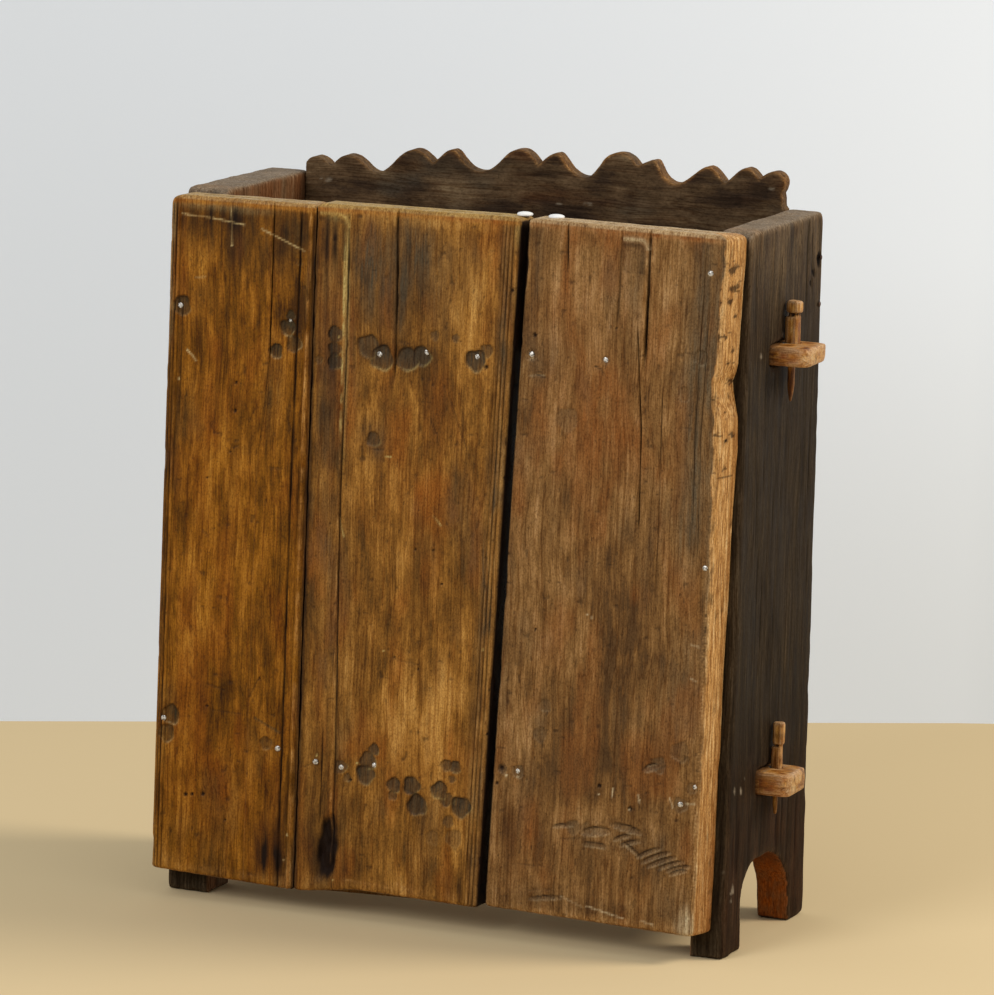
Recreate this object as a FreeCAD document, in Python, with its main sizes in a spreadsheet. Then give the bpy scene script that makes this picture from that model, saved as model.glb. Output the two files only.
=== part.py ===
import FreeCAD
import Part
import Sketcher
import math
import os
import re
from FreeCAD import Placement, Rotation, Vector

# A country plank cupboard that knocks down without tools. Two thick side panels
# stand on arched feet. Two shelves pass through them with tenons, and a wedge
# dropped through each tenon outside the panel holds it. Three heavy boards are
# nailed over the front, a scalloped crest board closes the back of the top well,
# and the rest of the back is open.
# The frame is X to the right along the front, Y to the back and Z up from the
# floor, with the origin under the middle of the whole depth.

sizes = (
    # side panels, measured from the foot of the panel's front edge
    ("overall_width", "693.6", "over the outer faces of the side panels"),
    ("panel_height", "820", "side panel from the floor to its top"),
    ("right_panel_thickness", "41.4", "right side panel"),
    ("left_panel_thickness", "53.7", "left side panel, riven from a thicker plank"),
    ("foot_depth", "261", "side panel from front to back at the floor"),
    ("head_depth", "228.1", "side panel from front to back at the top"),
    ("front_lean", "16.6", "how far the front edge leans back by the top"),
    ("panel_corner_round", "11", "rounding of the panel's top corners"),
    ("panel_arris_round", "3", "wear along the panel's outer arrises"),
    ("arch_front", "59", "front of the arch, back from the front edge"),
    ("arch_width", "151", "arch at the floor"),
    ("arch_height", "97", "arch from the floor to its crown"),
    # fits
    ("fit_clearance", "0.3", "gap where one piece passes through another"),
    ("cut_overrun", "6", "how far a cut runs past the face it starts from"),
    # shelves and their tenons
    ("upper_shelf_drop", "157.3", "upper shelf's underside below the panel's top"),
    ("upper_shelf_thickness", "21.5", "upper shelf and its tenons"),
    ("upper_tenon_front", "86", "tenon's front, back from the panel's front line"),
    ("upper_tenon_width", "64", "upper tenon from front to back"),
    ("upper_tenon_reach", "44", "upper tenon past the panel's outer face"),
    ("lower_shelf_rise", "172.1", "lower shelf's underside above the floor"),
    ("lower_shelf_thickness", "26", "lower shelf and its tenons"),
    ("lower_tenon_front", "91", "tenon's front, back from the panel's front line"),
    ("lower_tenon_width", "62", "lower tenon from front to back"),
    ("lower_tenon_reach", "37", "lower tenon past the panel's outer face"),
    ("tenon_bevel_long", "10", "bevelled end of a tenon, along it"),
    ("tenon_bevel_short", "6", "bevelled end of a tenon, across it"),
    # upper wedges
    ("upper_wedge_back", "44", "wedge's middle, back from the tenon's front"),
    ("upper_wedge_rise", "48", "wedge above the tenon"),
    ("upper_wedge_drop", "46", "wedge below the tenon"),
    ("upper_head_height", "13", "wedge head"),
    ("upper_head_width", "17.5", "wedge head across"),
    ("upper_head_depth", "16", "wedge head from front to back"),
    ("upper_neck_height", "6", "notch under the head"),
    ("upper_neck_width", "12.5", "notch across"),
    ("upper_neck_depth", "12", "notch from front to back"),
    ("upper_shank_width", "16.5", "wedge across, down to the tenon's top"),
    ("upper_shank_depth", "14.5", "wedge from front to back there"),
    ("upper_blade_width", "8.5", "wedge across where it leaves the tenon"),
    ("upper_blade_depth", "8", "wedge from front to back there"),
    ("upper_tip_width", "2.6", "wedge's point across"),
    ("upper_tip_depth", "3", "wedge's point from front to back"),
    # lower wedges
    ("lower_wedge_back", "42", "wedge's middle, back from the tenon's front"),
    ("lower_wedge_rise", "52", "wedge above the tenon"),
    ("lower_wedge_drop", "29", "wedge below the tenon"),
    ("lower_head_height", "25", "wedge head"),
    ("lower_head_width", "13.5", "wedge head across"),
    ("lower_head_depth", "11", "wedge head from front to back"),
    ("lower_neck_height", "4", "notch under the head"),
    ("lower_neck_width", "10", "notch across"),
    ("lower_neck_depth", "8.5", "notch from front to back"),
    ("lower_shank_width", "12.5", "wedge across, down to the tenon's top"),
    ("lower_shank_depth", "11", "wedge from front to back there"),
    ("lower_blade_width", "6", "wedge across where it leaves the tenon"),
    ("lower_blade_depth", "6", "wedge from front to back there"),
    ("lower_tip_width", "3.2", "wedge's point across"),
    ("lower_tip_depth", "4", "wedge's point from front to back"),
    ("head_shift", "1.6", "wedge head set away from the panel"),
    # front boards
    ("board_thickness", "38", "front boards"),
    ("board_round", "4", "wear along the boards' front arrises"),
    ("board_corner_round", "7", "wear on the boards' top corners"),
    ("left_edge_out_foot", "2.6", "left board past the panel's face at the foot"),
    ("left_edge_in_top", "0.6", "left board short of the panel's face at the top"),
    ("left_board_foot_width", "182", "left board at the foot"),
    ("left_board_top_width", "182.6", "left board at the top"),
    ("tight_joint", "0.6", "joint between the left and middle boards"),
    ("middle_board_foot_width", "229.8", "middle board at the foot"),
    ("middle_board_top_width", "250.4", "middle board at the top"),
    ("open_joint", "7.4", "joint between the middle and right boards"),
    ("right_edge_in_foot", "16.6", "right board short of the panel's face, foot"),
    ("right_edge_in_low", "13.8", "the same just under the step in its edge"),
    ("right_edge_in_high", "10.2", "the same just over the step in its edge"),
    ("right_edge_in_top", "7.4", "the same at the top"),
    ("edge_step_drop", "200", "foot of the step in that edge, below the panel's top"),
    ("edge_step_length", "35", "length of that step"),
    ("edge_bevel", "6.5", "right board's edge, narrower in front than behind"),
    ("left_foot_height", "31", "left board's outer bottom corner"),
    ("seam_foot_height", "25.8", "left and middle boards' bottoms at their joint"),
    ("worn_foot_height", "35", "bottom of the middle board where it is worn"),
    ("gap_foot_height", "32.4", "middle board's bottom at the open joint"),
    ("right_inner_foot_height", "36", "right board's bottom at the open joint"),
    ("right_foot_height", "30.7", "right board's outer bottom corner"),
    ("left_top_drop", "5", "left board's outer top corner under the panel's top"),
    ("left_seam_top_drop", "3.5", "left board's top at the tight joint, the same way"),
    ("seam_top_drop", "1.5", "middle board's top at the tight joint"),
    ("gap_top_rise", "0.4", "middle board's top at the open joint, over the panel's"),
    ("right_inner_top_rise", "1", "right board's top at the open joint, over it"),
    ("right_top_drop", "1", "right board's top at its outer edge, under it"),
    # mouldings, splits and the knot in the front boards
    ("reed_width", "2", "groove between two reeds"),
    ("reed_pitch", "4.6", "from one reed to the next"),
    ("reed_depth", "1.4", "grooves between reeds"),
    ("reed_margin", "3.5", "first groove in from the board's edge"),
    ("band_width", "18", "plain band beside the tight joint"),
    ("quirk_width", "2.2", "groove beside a band"),
    ("quirk_depth", "2.4", "groove beside a band"),
    ("strip_margin", "4", "sunk strip in from the middle board's edge"),
    ("strip_top_width", "35", "sunk strip at the top"),
    ("strip_foot_width", "42", "sunk strip at the foot"),
    ("strip_stop", "14", "sunk strips stop this far below the board's top"),
    ("strip_depth", "2.2", "sunk strips"),
    ("strip_round", "13", "rounded top corner of a sunk strip"),
    ("short_strip_width", "28", "sunk strip of the right board"),
    ("short_strip_length", "128", "sunk strip of the right board"),
    ("split_width", "3", "mouth of the long drying splits"),
    ("hair_split_width", "1.2", "mouth of the finer splits"),
    ("split_depth", "9", "drying splits"),
    ("knot_width", "28", "hollow of the lost knot"),
    ("knot_height", "80", "hollow of the lost knot"),
    ("knot_depth", "9", "hollow of the lost knot"),
    ("knot_middle_height", "79", "middle of that hollow above the floor"),
    # crest board
    ("crest_thickness", "22", "crest board"),
    ("crest_shoulder_rise", "5", "lowest hollow of the scallops over the panel's top"),
    ("scallop_depth", "46", "from that hollow to the highest scallop"),
    # nails
    ("nail_length", "70", "front nails under the head"),
    ("nail_radius", "1.75", "nail shanks"),
    ("nail_head_radius", "3.1", "nail heads"),
    ("nail_head_height", "1", "nail heads"),
    ("nail_clearance", "0.05", "play of a nail in its hole, each side"),
    ("left_nail_inset", "16.5", "left board's panel nails, in from the face"),
    ("right_nail_inset", "28", "right board's panel nails, in from the face"),
    ("crest_nail_length", "68", "crest nails under the head"),
    ("crest_nail_low", "29.8", "lower crest nail above the upper shelf"),
    ("crest_nail_high", "83.8", "upper crest nail above the upper shelf"),
    # edge pads
    ("pad_radius", "9", "domed pads on the boards' top edge"),
    ("pad_rim", "1.2", "rim of a pad"),
    ("pad_height", "3.4", "pad at its middle"),
    ("pad_back", "24", "pad's middle, back from the boards' front face"),
    ("left_pad_inset", "6.9", "left pad's middle, left of the open joint"),
    ("right_pad_inset", "23.7", "right pad's middle, right of the open joint"),
)

# The scalloped top, run by run from one sharp notch to the next. Each point is a
# share of the board's length and a share of the scallops' depth.
scallop_shares = (
    ((0.000, 0.10), (0.005, 0.21), (0.018, 0.30), (0.029, 0.29), (0.043, 0.20),
     (0.056, 0.05)),
    ((0.056, 0.05), (0.067, 0.25), (0.093, 0.41), (0.118, 0.27), (0.151, 0.01),
     (0.187, 0.28), (0.207, 0.54), (0.234, 0.67), (0.260, 0.51), (0.271, 0.36)),
    ((0.271, 0.36), (0.288, 0.55), (0.312, 0.74), (0.333, 0.50), (0.372, 0.25),
     (0.414, 0.55), (0.431, 0.77), (0.456, 0.88), (0.486, 0.64), (0.494, 0.49)),
    ((0.494, 0.49), (0.510, 0.73), (0.531, 0.85), (0.552, 0.58), (0.596, 0.32),
     (0.618, 0.59), (0.635, 0.87), (0.661, 0.99), (0.688, 0.84), (0.697, 0.69)),
    ((0.697, 0.69), (0.713, 0.79), (0.732, 0.86), (0.746, 0.60), (0.771, 0.32),
     (0.816, 0.61), (0.843, 0.81), (0.864, 0.63), (0.877, 0.42)),
    ((0.877, 0.42), (0.895, 0.64), (0.922, 0.85), (0.940, 0.70), (0.946, 0.58)),
    ((0.946, 0.58), (0.958, 0.72), (0.981, 0.81), (0.998, 0.62), (0.997, 0.38),
     (0.992, 0.26)),
)
crest_end_shares = ((0.995, 0.16), (0.995, -0.10))

# The arch through each panel's foot, as shares of its width and height.
arch_left_shares = ((0.000, 0.00), (-0.010, 0.47), (0.050, 0.83), (0.250, 0.99))
arch_right_shares = ((0.530, 0.98), (0.820, 0.76), (0.960, 0.50), (1.000, 0.00))

# Nails from each board into the shelves: the share of the stretch of shelf behind
# the board, from its left end, and the share of the shelf's thickness above its middle.
nail_shares = {
    "left": {"upper": ((0.776, -0.20),), "lower": ((0.797, 0.22),)},
    "middle": {
        "upper": ((0.335, -0.30), (0.57, -0.22), (0.81, -0.26)),
        "lower": ((0.10, -0.10), (0.225, -0.20), (0.40, 0.00)),
    },
    "right": {
        "upper": ((0.069, 0.00), (0.481, 0.04)),
        "lower": ((0.128, 0.24), (0.975, -0.10)),
    },
}
# Nails of the outer boards into the panels' front edges, as shares of the height.
left_panel_nail_shares = (0.842, 0.264)
right_panel_nail_shares = (0.948, 0.547, 0.247)

# Drying splits as shares: across the board and up it at the mouth and the tip.
middle_split_shares = ((0.395, 1.0), (0.402, 0.76))
right_split_shares = ((0.617, 1.0), (0.605, 0.815))
fine_split_shares = ((0.567, 0.845), (0.640, 0.63))
short_split_shares = ((0.190, 1.0), (0.200, 0.945))
knot_place_share = 0.175
knot_sides = 10
short_strip_share = 0.478

# The worn corner in the middle board's foot, along it, and the fine line in the
# left board's plain band, across it.
worn_foot_share = 0.33
band_line_share = 0.33
left_reed_count = 3
middle_reed_count = 4

# Nails are small and many, so their heads and shanks are drawn with few sides.
head_sides = 12
shank_sides = 6

# A wedge's straight blade, its worn crown and the slope into its notch.
blade_length_share = 0.62
blade_width_share = 0.9
crown_share = 0.72
lip_share = 0.28
facet_share = 0.24

# A pad's dome, as points of its shoulder and of its flat crown, out and up.
dome_shares = ((0.84, 0.66), (0.45, 1.0))

doc = FreeCAD.newDocument("PlankCupboard")
sheet = doc.addObject("Spreadsheet::Sheet", "Sizes")
for row, (alias, value, meaning) in enumerate(sizes, 1):
    sheet.set(f"A{row}", meaning)
    sheet.set(f"B{row}", value)
    sheet.setAlias(f"B{row}", alias)
doc.recompute()
aliases = {alias for alias, value, meaning in sizes}


def size(alias):
    return float(sheet.get(alias))


def formula(text):
    """An expression whose sizes are cells of the sheet."""
    def cell(match):
        word = match.group()
        return "Sizes." + word if word in aliases else word

    return re.sub(r"[a-z_]+", cell, text)


def value(text):
    """The length that a formula gives with the sheet's present sizes."""
    return float(sheet.evalExpression(formula(text)))


def bind(thing, path, text):
    thing.setExpression(path, formula(text))


# Lengths that several pieces share.
shelf_under = {
    "upper": "(panel_height - upper_shelf_drop)",
    "lower": "lower_shelf_rise",
}
rear_lean = "(foot_depth - head_depth - front_lean)"
lean_angle = "atan(front_lean / panel_height)"
middle_depth = (
    "((foot_depth - board_thickness"
    " + front_lean * (seam_foot_height + board_round) / panel_height) / 2)"
)
front_tilt = math.atan(value("front_lean / panel_height"))
rear_tilt = math.atan(value(rear_lean + " / panel_height"))
panel_outside = size("overall_width") / 2
panel_thickness = {-1: "left_panel_thickness", 1: "right_panel_thickness"}
inside_left, inside_right = (
    side * (panel_outside - size(thickness)) for side, thickness in panel_thickness.items())

pieces = []


def new_body(name):
    body = doc.addObject("PartDesign::Body", name)
    body.Label = name
    pieces.append(body)
    return body


def stand_upright(body):
    bind(body, "Placement.Base.y", "-" + middle_depth)


def lean_back(body):
    """Lays a body's front plane along the panels' leaning front edges."""
    body.Placement = Placement(Vector(), Rotation(Vector(1, 0, 0), -math.degrees(front_tilt)))
    bind(body, "Placement.Base.y", "-" + middle_depth)


def new_sketch(body, role, name, offset=None, tilt=0):
    sketch = body.newObject("Sketcher::SketchObject", name)
    plane = next(f for f in body.Origin.OriginFeatures if f.Role == role)
    sketch.AttachmentSupport = (plane, [""])
    sketch.MapMode = "FlatFace"
    sketch.AttachmentOffset = Placement(Vector(), Rotation(Vector(1, 0, 0), tilt))
    if offset:
        bind(sketch, "AttachmentOffset.Base.z", offset)
    return sketch


def pin_corners(sketch, corners):
    """Draws a closed outline whose corners stand at sizes of the sheet."""
    count = len(corners)
    reach = size("panel_height")
    turn = 2 * math.pi / count
    starts = [
        Vector(reach * math.cos(turn * i), reach * math.sin(turn * i), 0)
        for i in range(count)
    ]
    for i in range(count):
        sketch.addGeometry(Part.LineSegment(starts[i], starts[(i + 1) % count]))
    for i in range(count):
        nearest = (i + 1) % count
        sketch.addConstraint(Sketcher.Constraint("Coincident", i, 2, nearest, 1))
    for i, (across, up) in enumerate(corners):
        for kind, text, axis, start in (
            ("DistanceX", across, -2, starts[i].x),
            ("DistanceY", up, -1, starts[i].y),
        ):
            if text == "0":
                sketch.addConstraint(Sketcher.Constraint("PointOnObject", i, 1, axis))
                continue
            constraint = Sketcher.Constraint(kind, -1, 1, i, 1, start)
            index = sketch.addConstraint(constraint)
            bind(sketch, f"Constraints[{index}]", text)


def draw_loop(sketch, points):
    """Draws a closed loop of straight edges through the points."""
    for start, end in zip(points, points[1:] + points[:1]):
        sketch.addGeometry(Part.LineSegment(start, end))


def draw_circles(sketch, points, radius):
    """Draws a circle at each point, with its radius bound to the sheet."""
    for point in points:
        circle = sketch.addGeometry(Part.Circle(point, Vector(0, 0, 1), value(radius)))
        index = sketch.addConstraint(Sketcher.Constraint("Radius", circle, value(radius)))
        bind(sketch, f"Constraints[{index}]", radius)


def draw_rounds(sketch, points, radius, sides):
    """Draws a many-sided round about each point."""
    turn = 2 * math.pi / sides
    for point in points:
        draw_loop(sketch, [
            point + flat(radius * math.cos(turn * i), radius * math.sin(turn * i))
            for i in range(sides)])


def flat(across, up):
    return Vector(across, up, 0)


def add_pad(body, sketch, name, length, reverse=False):
    pad = body.newObject("PartDesign::Pad", name)
    pad.Profile = sketch
    pad.Reversed = reverse
    bind(pad, "Length", length)
    return pad


def add_pocket(body, sketch, name, length, reverse=False):
    before = solid_volume(body)
    pocket = body.newObject("PartDesign::Pocket", name)
    pocket.Profile = sketch
    pocket.Reversed = reverse
    bind(pocket, "Length", length)
    doc.recompute()
    if not solid_volume(body) < before:
        raise RuntimeError(name + " cuts nothing")
    return pocket


def solid_volume(body):
    doc.recompute()
    return body.Tip.Shape.Volume


def add_loft(body, sections, name, kind="PartDesign::AdditiveLoft"):
    loft = body.newObject(kind, name)
    loft.Profile = sections[0]
    loft.Sections = sections[1:]
    loft.Ruled = True
    return loft


def round_edges(body, name, radius, wanted):
    """Rounds the edges of the body's tip whose middle point passes the test."""
    doc.recompute()
    tip = body.Tip
    chosen = []
    for number, edge in enumerate(tip.Shape.Edges, 1):
        middle = edge.valueAt((edge.FirstParameter + edge.LastParameter) / 2)
        if wanted(middle, edge):
            chosen.append(f"Edge{number}")
    if not chosen:
        raise RuntimeError(name + " finds no edge")
    fillet = body.newObject("PartDesign::Fillet", name)
    fillet.Base = (tip, chosen)
    bind(fillet, "Radius", radius)
    doc.recompute()
    return fillet


def along(edge, direction):
    """True where an edge runs along one of the frame's axes."""
    slant_allowed = math.radians(20)
    ends = edge.lastVertex().Point - edge.firstVertex().Point
    return abs(ends.normalize().dot(direction)) > math.cos(slant_allowed)


def crest_point(back, up):
    """Carries a point of the leaning crest board's plane to the panels' frame."""
    across = size("foot_depth") + back * math.cos(rear_tilt) - up * math.sin(rear_tilt)
    return flat(across, back * math.sin(rear_tilt) + up * math.cos(rear_tilt))


# Side panels


def side_panel(name, side, front_nails):
    body = new_body(name)
    stand_upright(body)
    thickness = panel_thickness[side]
    inner_start = f"overall_width / 2 - {thickness}" if side > 0 else "-overall_width / 2"

    profile = new_sketch(body, "YZ_Plane", name + "_profile", inner_start)
    pin_corners(profile, (
        ("0", "0"),
        ("foot_depth", "0"),
        ("front_lean + head_depth", "panel_height"),
        ("front_lean", "panel_height"),
    ))
    add_pad(body, profile, name + "_plank", thickness)

    top = size("panel_height")
    foot = size("panel_arris_round")
    outer = side * panel_outside
    round_edges(body, name + "_corners", "panel_corner_round",
                lambda middle, edge: middle.z > top - foot and along(edge, Vector(1, 0, 0)))
    round_edges(body, name + "_arrises", "panel_arris_round",
                lambda middle, edge: abs(middle.x - outer) < foot and middle.z > foot)

    arch = new_sketch(body, "YZ_Plane", name + "_arch", inner_start)
    wide = size("arch_width")
    tall = size("arch_height")
    start = size("arch_front")
    left = [flat(start + wide * a, tall * b) for a, b in arch_left_shares]
    right = [flat(start + wide * a, tall * b) for a, b in arch_right_shares]
    below = flat(0, -size("cut_overrun"))
    arch.addGeometry(Part.LineSegment(left[0] + below, left[0]))
    arch.addGeometry(Part.LineSegment(left[0], left[1]))
    arch.addGeometry(Part.Arc(left[1], left[2], left[3]))
    arch.addGeometry(Part.LineSegment(left[3], right[0]))
    arch.addGeometry(Part.Arc(right[0], right[1], right[2]))
    arch.addGeometry(Part.LineSegment(right[2], right[3]))
    arch.addGeometry(Part.LineSegment(right[3], right[3] + below))
    arch.addGeometry(Part.LineSegment(right[3] + below, left[0] + below))
    add_pocket(body, arch, name + "_arch_cut", thickness, reverse=True)

    for level in ("upper", "lower"):
        mortise = new_sketch(body, "YZ_Plane", f"{name}_{level}_mortise", inner_start)
        front = f"{level}_tenon_front - fit_clearance"
        back = f"{level}_tenon_front + {level}_tenon_width + fit_clearance"
        under = f"{shelf_under[level]} - fit_clearance"
        over = f"{shelf_under[level]} + {level}_shelf_thickness + fit_clearance"
        pin_corners(mortise, ((front, under), (back, under), (back, over), (front, over)))
        add_pocket(body, mortise, f"{name}_{level}_mortise_cut", thickness, reverse=True)

    crest_holes = new_sketch(body, "YZ_Plane", name + "_crest_holes", inner_start)
    places = [crest_point(*place) for place in crest_nail_places()]
    draw_circles(crest_holes, places, "nail_radius + nail_clearance")
    add_pocket(body, crest_holes, name + "_crest_hole_cut", thickness, reverse=True)

    front_holes = new_sketch(body, "XZ_Plane", name + "_front_holes",
                             tilt=-math.degrees(front_tilt))
    draw_circles(front_holes, front_nails, "nail_radius + nail_clearance")
    add_pocket(body, front_holes, name + "_front_hole_cut",
               "nail_length - board_thickness + fit_clearance")
    return body


def crest_nail_places():
    """Places of the crest nails in the crest board's own plane."""
    back = -size("crest_thickness") / 2
    shelf_top = value(shelf_under["upper"] + " + upper_shelf_thickness")
    return [(back, shelf_top + size("crest_nail_" + way)) for way in ("low", "high")]


# Shelves


def shelf(name, level, front_nails):
    body = new_body(name)
    stand_upright(body)
    under = shelf_under[level]
    top = f"({under} + {level}_shelf_thickness)"
    front = f"front_lean * {top} / panel_height"
    rear = f"foot_depth - {rear_lean} * {top} / panel_height"
    tenon_front = f"{level}_tenon_front"
    tenon_back = f"{level}_tenon_front + {level}_tenon_width"
    reach = f"(overall_width / 2 + {level}_tenon_reach)"

    def half(side):
        shoulder = f"(overall_width / 2 - {panel_thickness[side]} - fit_clearance)"
        return (
            (shoulder, front),
            (shoulder, tenon_front),
            (reach + " - tenon_bevel_long", tenon_front),
            (reach, tenon_front + " + tenon_bevel_short"),
            (reach, tenon_back + " - tenon_bevel_short"),
            (reach + " - tenon_bevel_long", tenon_back),
            (shoulder, tenon_back),
            (shoulder, rear),
        )

    mirrored = tuple((f"-({across})", up) for across, up in reversed(half(-1)))
    plan = new_sketch(body, "XY_Plane", name + "_plan", under)
    pin_corners(plan, half(1) + mirrored)
    add_pad(body, plan, name + "_board", f"{level}_shelf_thickness")

    middle = panel_outside + size("fit_clearance") + size(level + "_shank_width") / 2
    back = size(level + "_tenon_front") + size(level + "_wedge_back")
    spare = size("cut_overrun")
    play = size("fit_clearance")
    ends = (
        ("under", -spare, under + " - cut_overrun"),
        ("over", size(level + "_shelf_thickness") + spare, top + " + cut_overrun"),
    )
    for side in (-1, 1):
        sections = []
        for end, height, place in ends:
            wide, deep = wedge_section(level, height)
            mouth = new_sketch(body, "XY_Plane", f"{name}_{end}_{side + 1}", place)
            x = wide / 2 + play
            y = deep / 2 + play
            middle_of_slot = flat(side * middle, back)
            draw_loop(mouth, [
                middle_of_slot + flat(a * x, b * y)
                for a, b in ((-1, -1), (1, -1), (1, 1), (-1, 1))])
            sections.append(mouth)
        before = solid_volume(body)
        add_loft(body, sections, f"{name}_wedge_slot_{side + 1}", "PartDesign::SubtractiveLoft")
        if not solid_volume(body) < before:
            raise RuntimeError(name + " wedge slot cuts nothing")

    holes = new_sketch(body, "XZ_Plane", name + "_front_holes", tilt=-math.degrees(front_tilt))
    draw_circles(holes, front_nails, "nail_radius + nail_clearance")
    add_pocket(body, holes, name + "_front_hole_cut",
               "nail_length - board_thickness + fit_clearance")
    return body


# Wedges


def wedge_section(level, height):
    """Width and depth of the tapered shank, height above the tenon's underside."""
    share = height / size(level + "_shelf_thickness")
    return tuple(
        size(f"{level}_blade_{way}")
        + share * (size(f"{level}_shank_{way}") - size(f"{level}_blade_{way}"))
        for way in ("width", "depth")
    )


def wedge(name, level, side):
    body = new_body(name)
    bind(body, "Placement.Base.x",
         f"{side} * (overall_width / 2 + fit_clearance + {level}_shank_width / 2)")
    bind(body, "Placement.Base.y",
         f"{level}_tenon_front + {level}_wedge_back - {middle_depth}")
    bind(body, "Placement.Base.z", shelf_under[level])

    def widths(part, share=1):
        return (share * size(f"{level}_{part}_width"), share * size(f"{level}_{part}_depth"))

    shoulder = f"{level}_shelf_thickness"
    top = f"{shoulder} + {level}_wedge_rise"
    head_foot = f"{top} - {level}_head_height"
    neck_foot = f"{head_foot} - {level}_neck_height"
    lip = f"{level}_neck_height * {lip_share}"
    shift = side * size("head_shift")
    stations = (
        (f"-{level}_wedge_drop", widths("tip"), 0),
        (f"-{level}_wedge_drop * {blade_length_share}", widths("blade", blade_width_share), 0),
        ("0", widths("blade"), 0),
        (shoulder, widths("shank"), 0),
        (neck_foot, widths("shank"), 0),
        (f"{neck_foot} + {lip}", widths("neck"), shift),
        (f"{head_foot} - {lip}", widths("neck"), shift),
        (head_foot, widths("head"), shift),
        (f"{top} - {lip}", widths("head"), shift),
        (top, widths("head", crown_share), shift),
    )
    sections = []
    for number, (height, (wide, deep), across) in enumerate(stations):
        section = new_sketch(body, "XY_Plane", f"{name}_section_{number}", height)
        draw_loop(section, whittled(wide, deep, across))
        sections.append(section)
    add_loft(body, sections, name + "_whittled")
    return body


def whittled(wide, deep, across):
    """An eight-sided knife-cut section, wide by deep."""
    x, y = wide / 2, deep / 2
    cut = facet_share * min(wide, deep)
    corners = (
        (-x + cut, -y), (x - cut, -y), (x, -y + cut), (x, y - cut),
        (x - cut, y), (-x + cut, y), (-x, y - cut), (-x, -y + cut),
    )
    return [flat(across + a, b) for a, b in corners]


# Front boards

left_foot = "-overall_width / 2 - left_edge_out_foot"
left_top = "-overall_width / 2 + left_edge_in_top"
seam_foot = left_foot + " + left_board_foot_width"
seam_top = left_top + " + left_board_top_width"
middle_foot = seam_foot + " + tight_joint"
middle_top = seam_top + " + tight_joint"
gap_foot = middle_foot + " + middle_board_foot_width"
gap_top = middle_top + " + middle_board_top_width"
right_foot = gap_foot + " + open_joint"
right_top = gap_top + " + open_joint"
gap_board_top = "panel_height + gap_top_rise"
right_board_top = "panel_height + right_inner_top_rise"


def step_corners(bevel):
    """Outer edge of the right board from foot to top, with its small step."""
    return (
        (f"overall_width / 2 - right_edge_in_foot - {bevel}", "right_foot_height"),
        (f"overall_width / 2 - right_edge_in_low - {bevel}",
         "panel_height - edge_step_drop"),
        (f"overall_width / 2 - right_edge_in_high - {bevel}",
         "panel_height - edge_step_drop + edge_step_length"),
        (f"overall_width / 2 - right_edge_in_top - {bevel}",
         "panel_height - right_top_drop"),
    )


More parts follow.
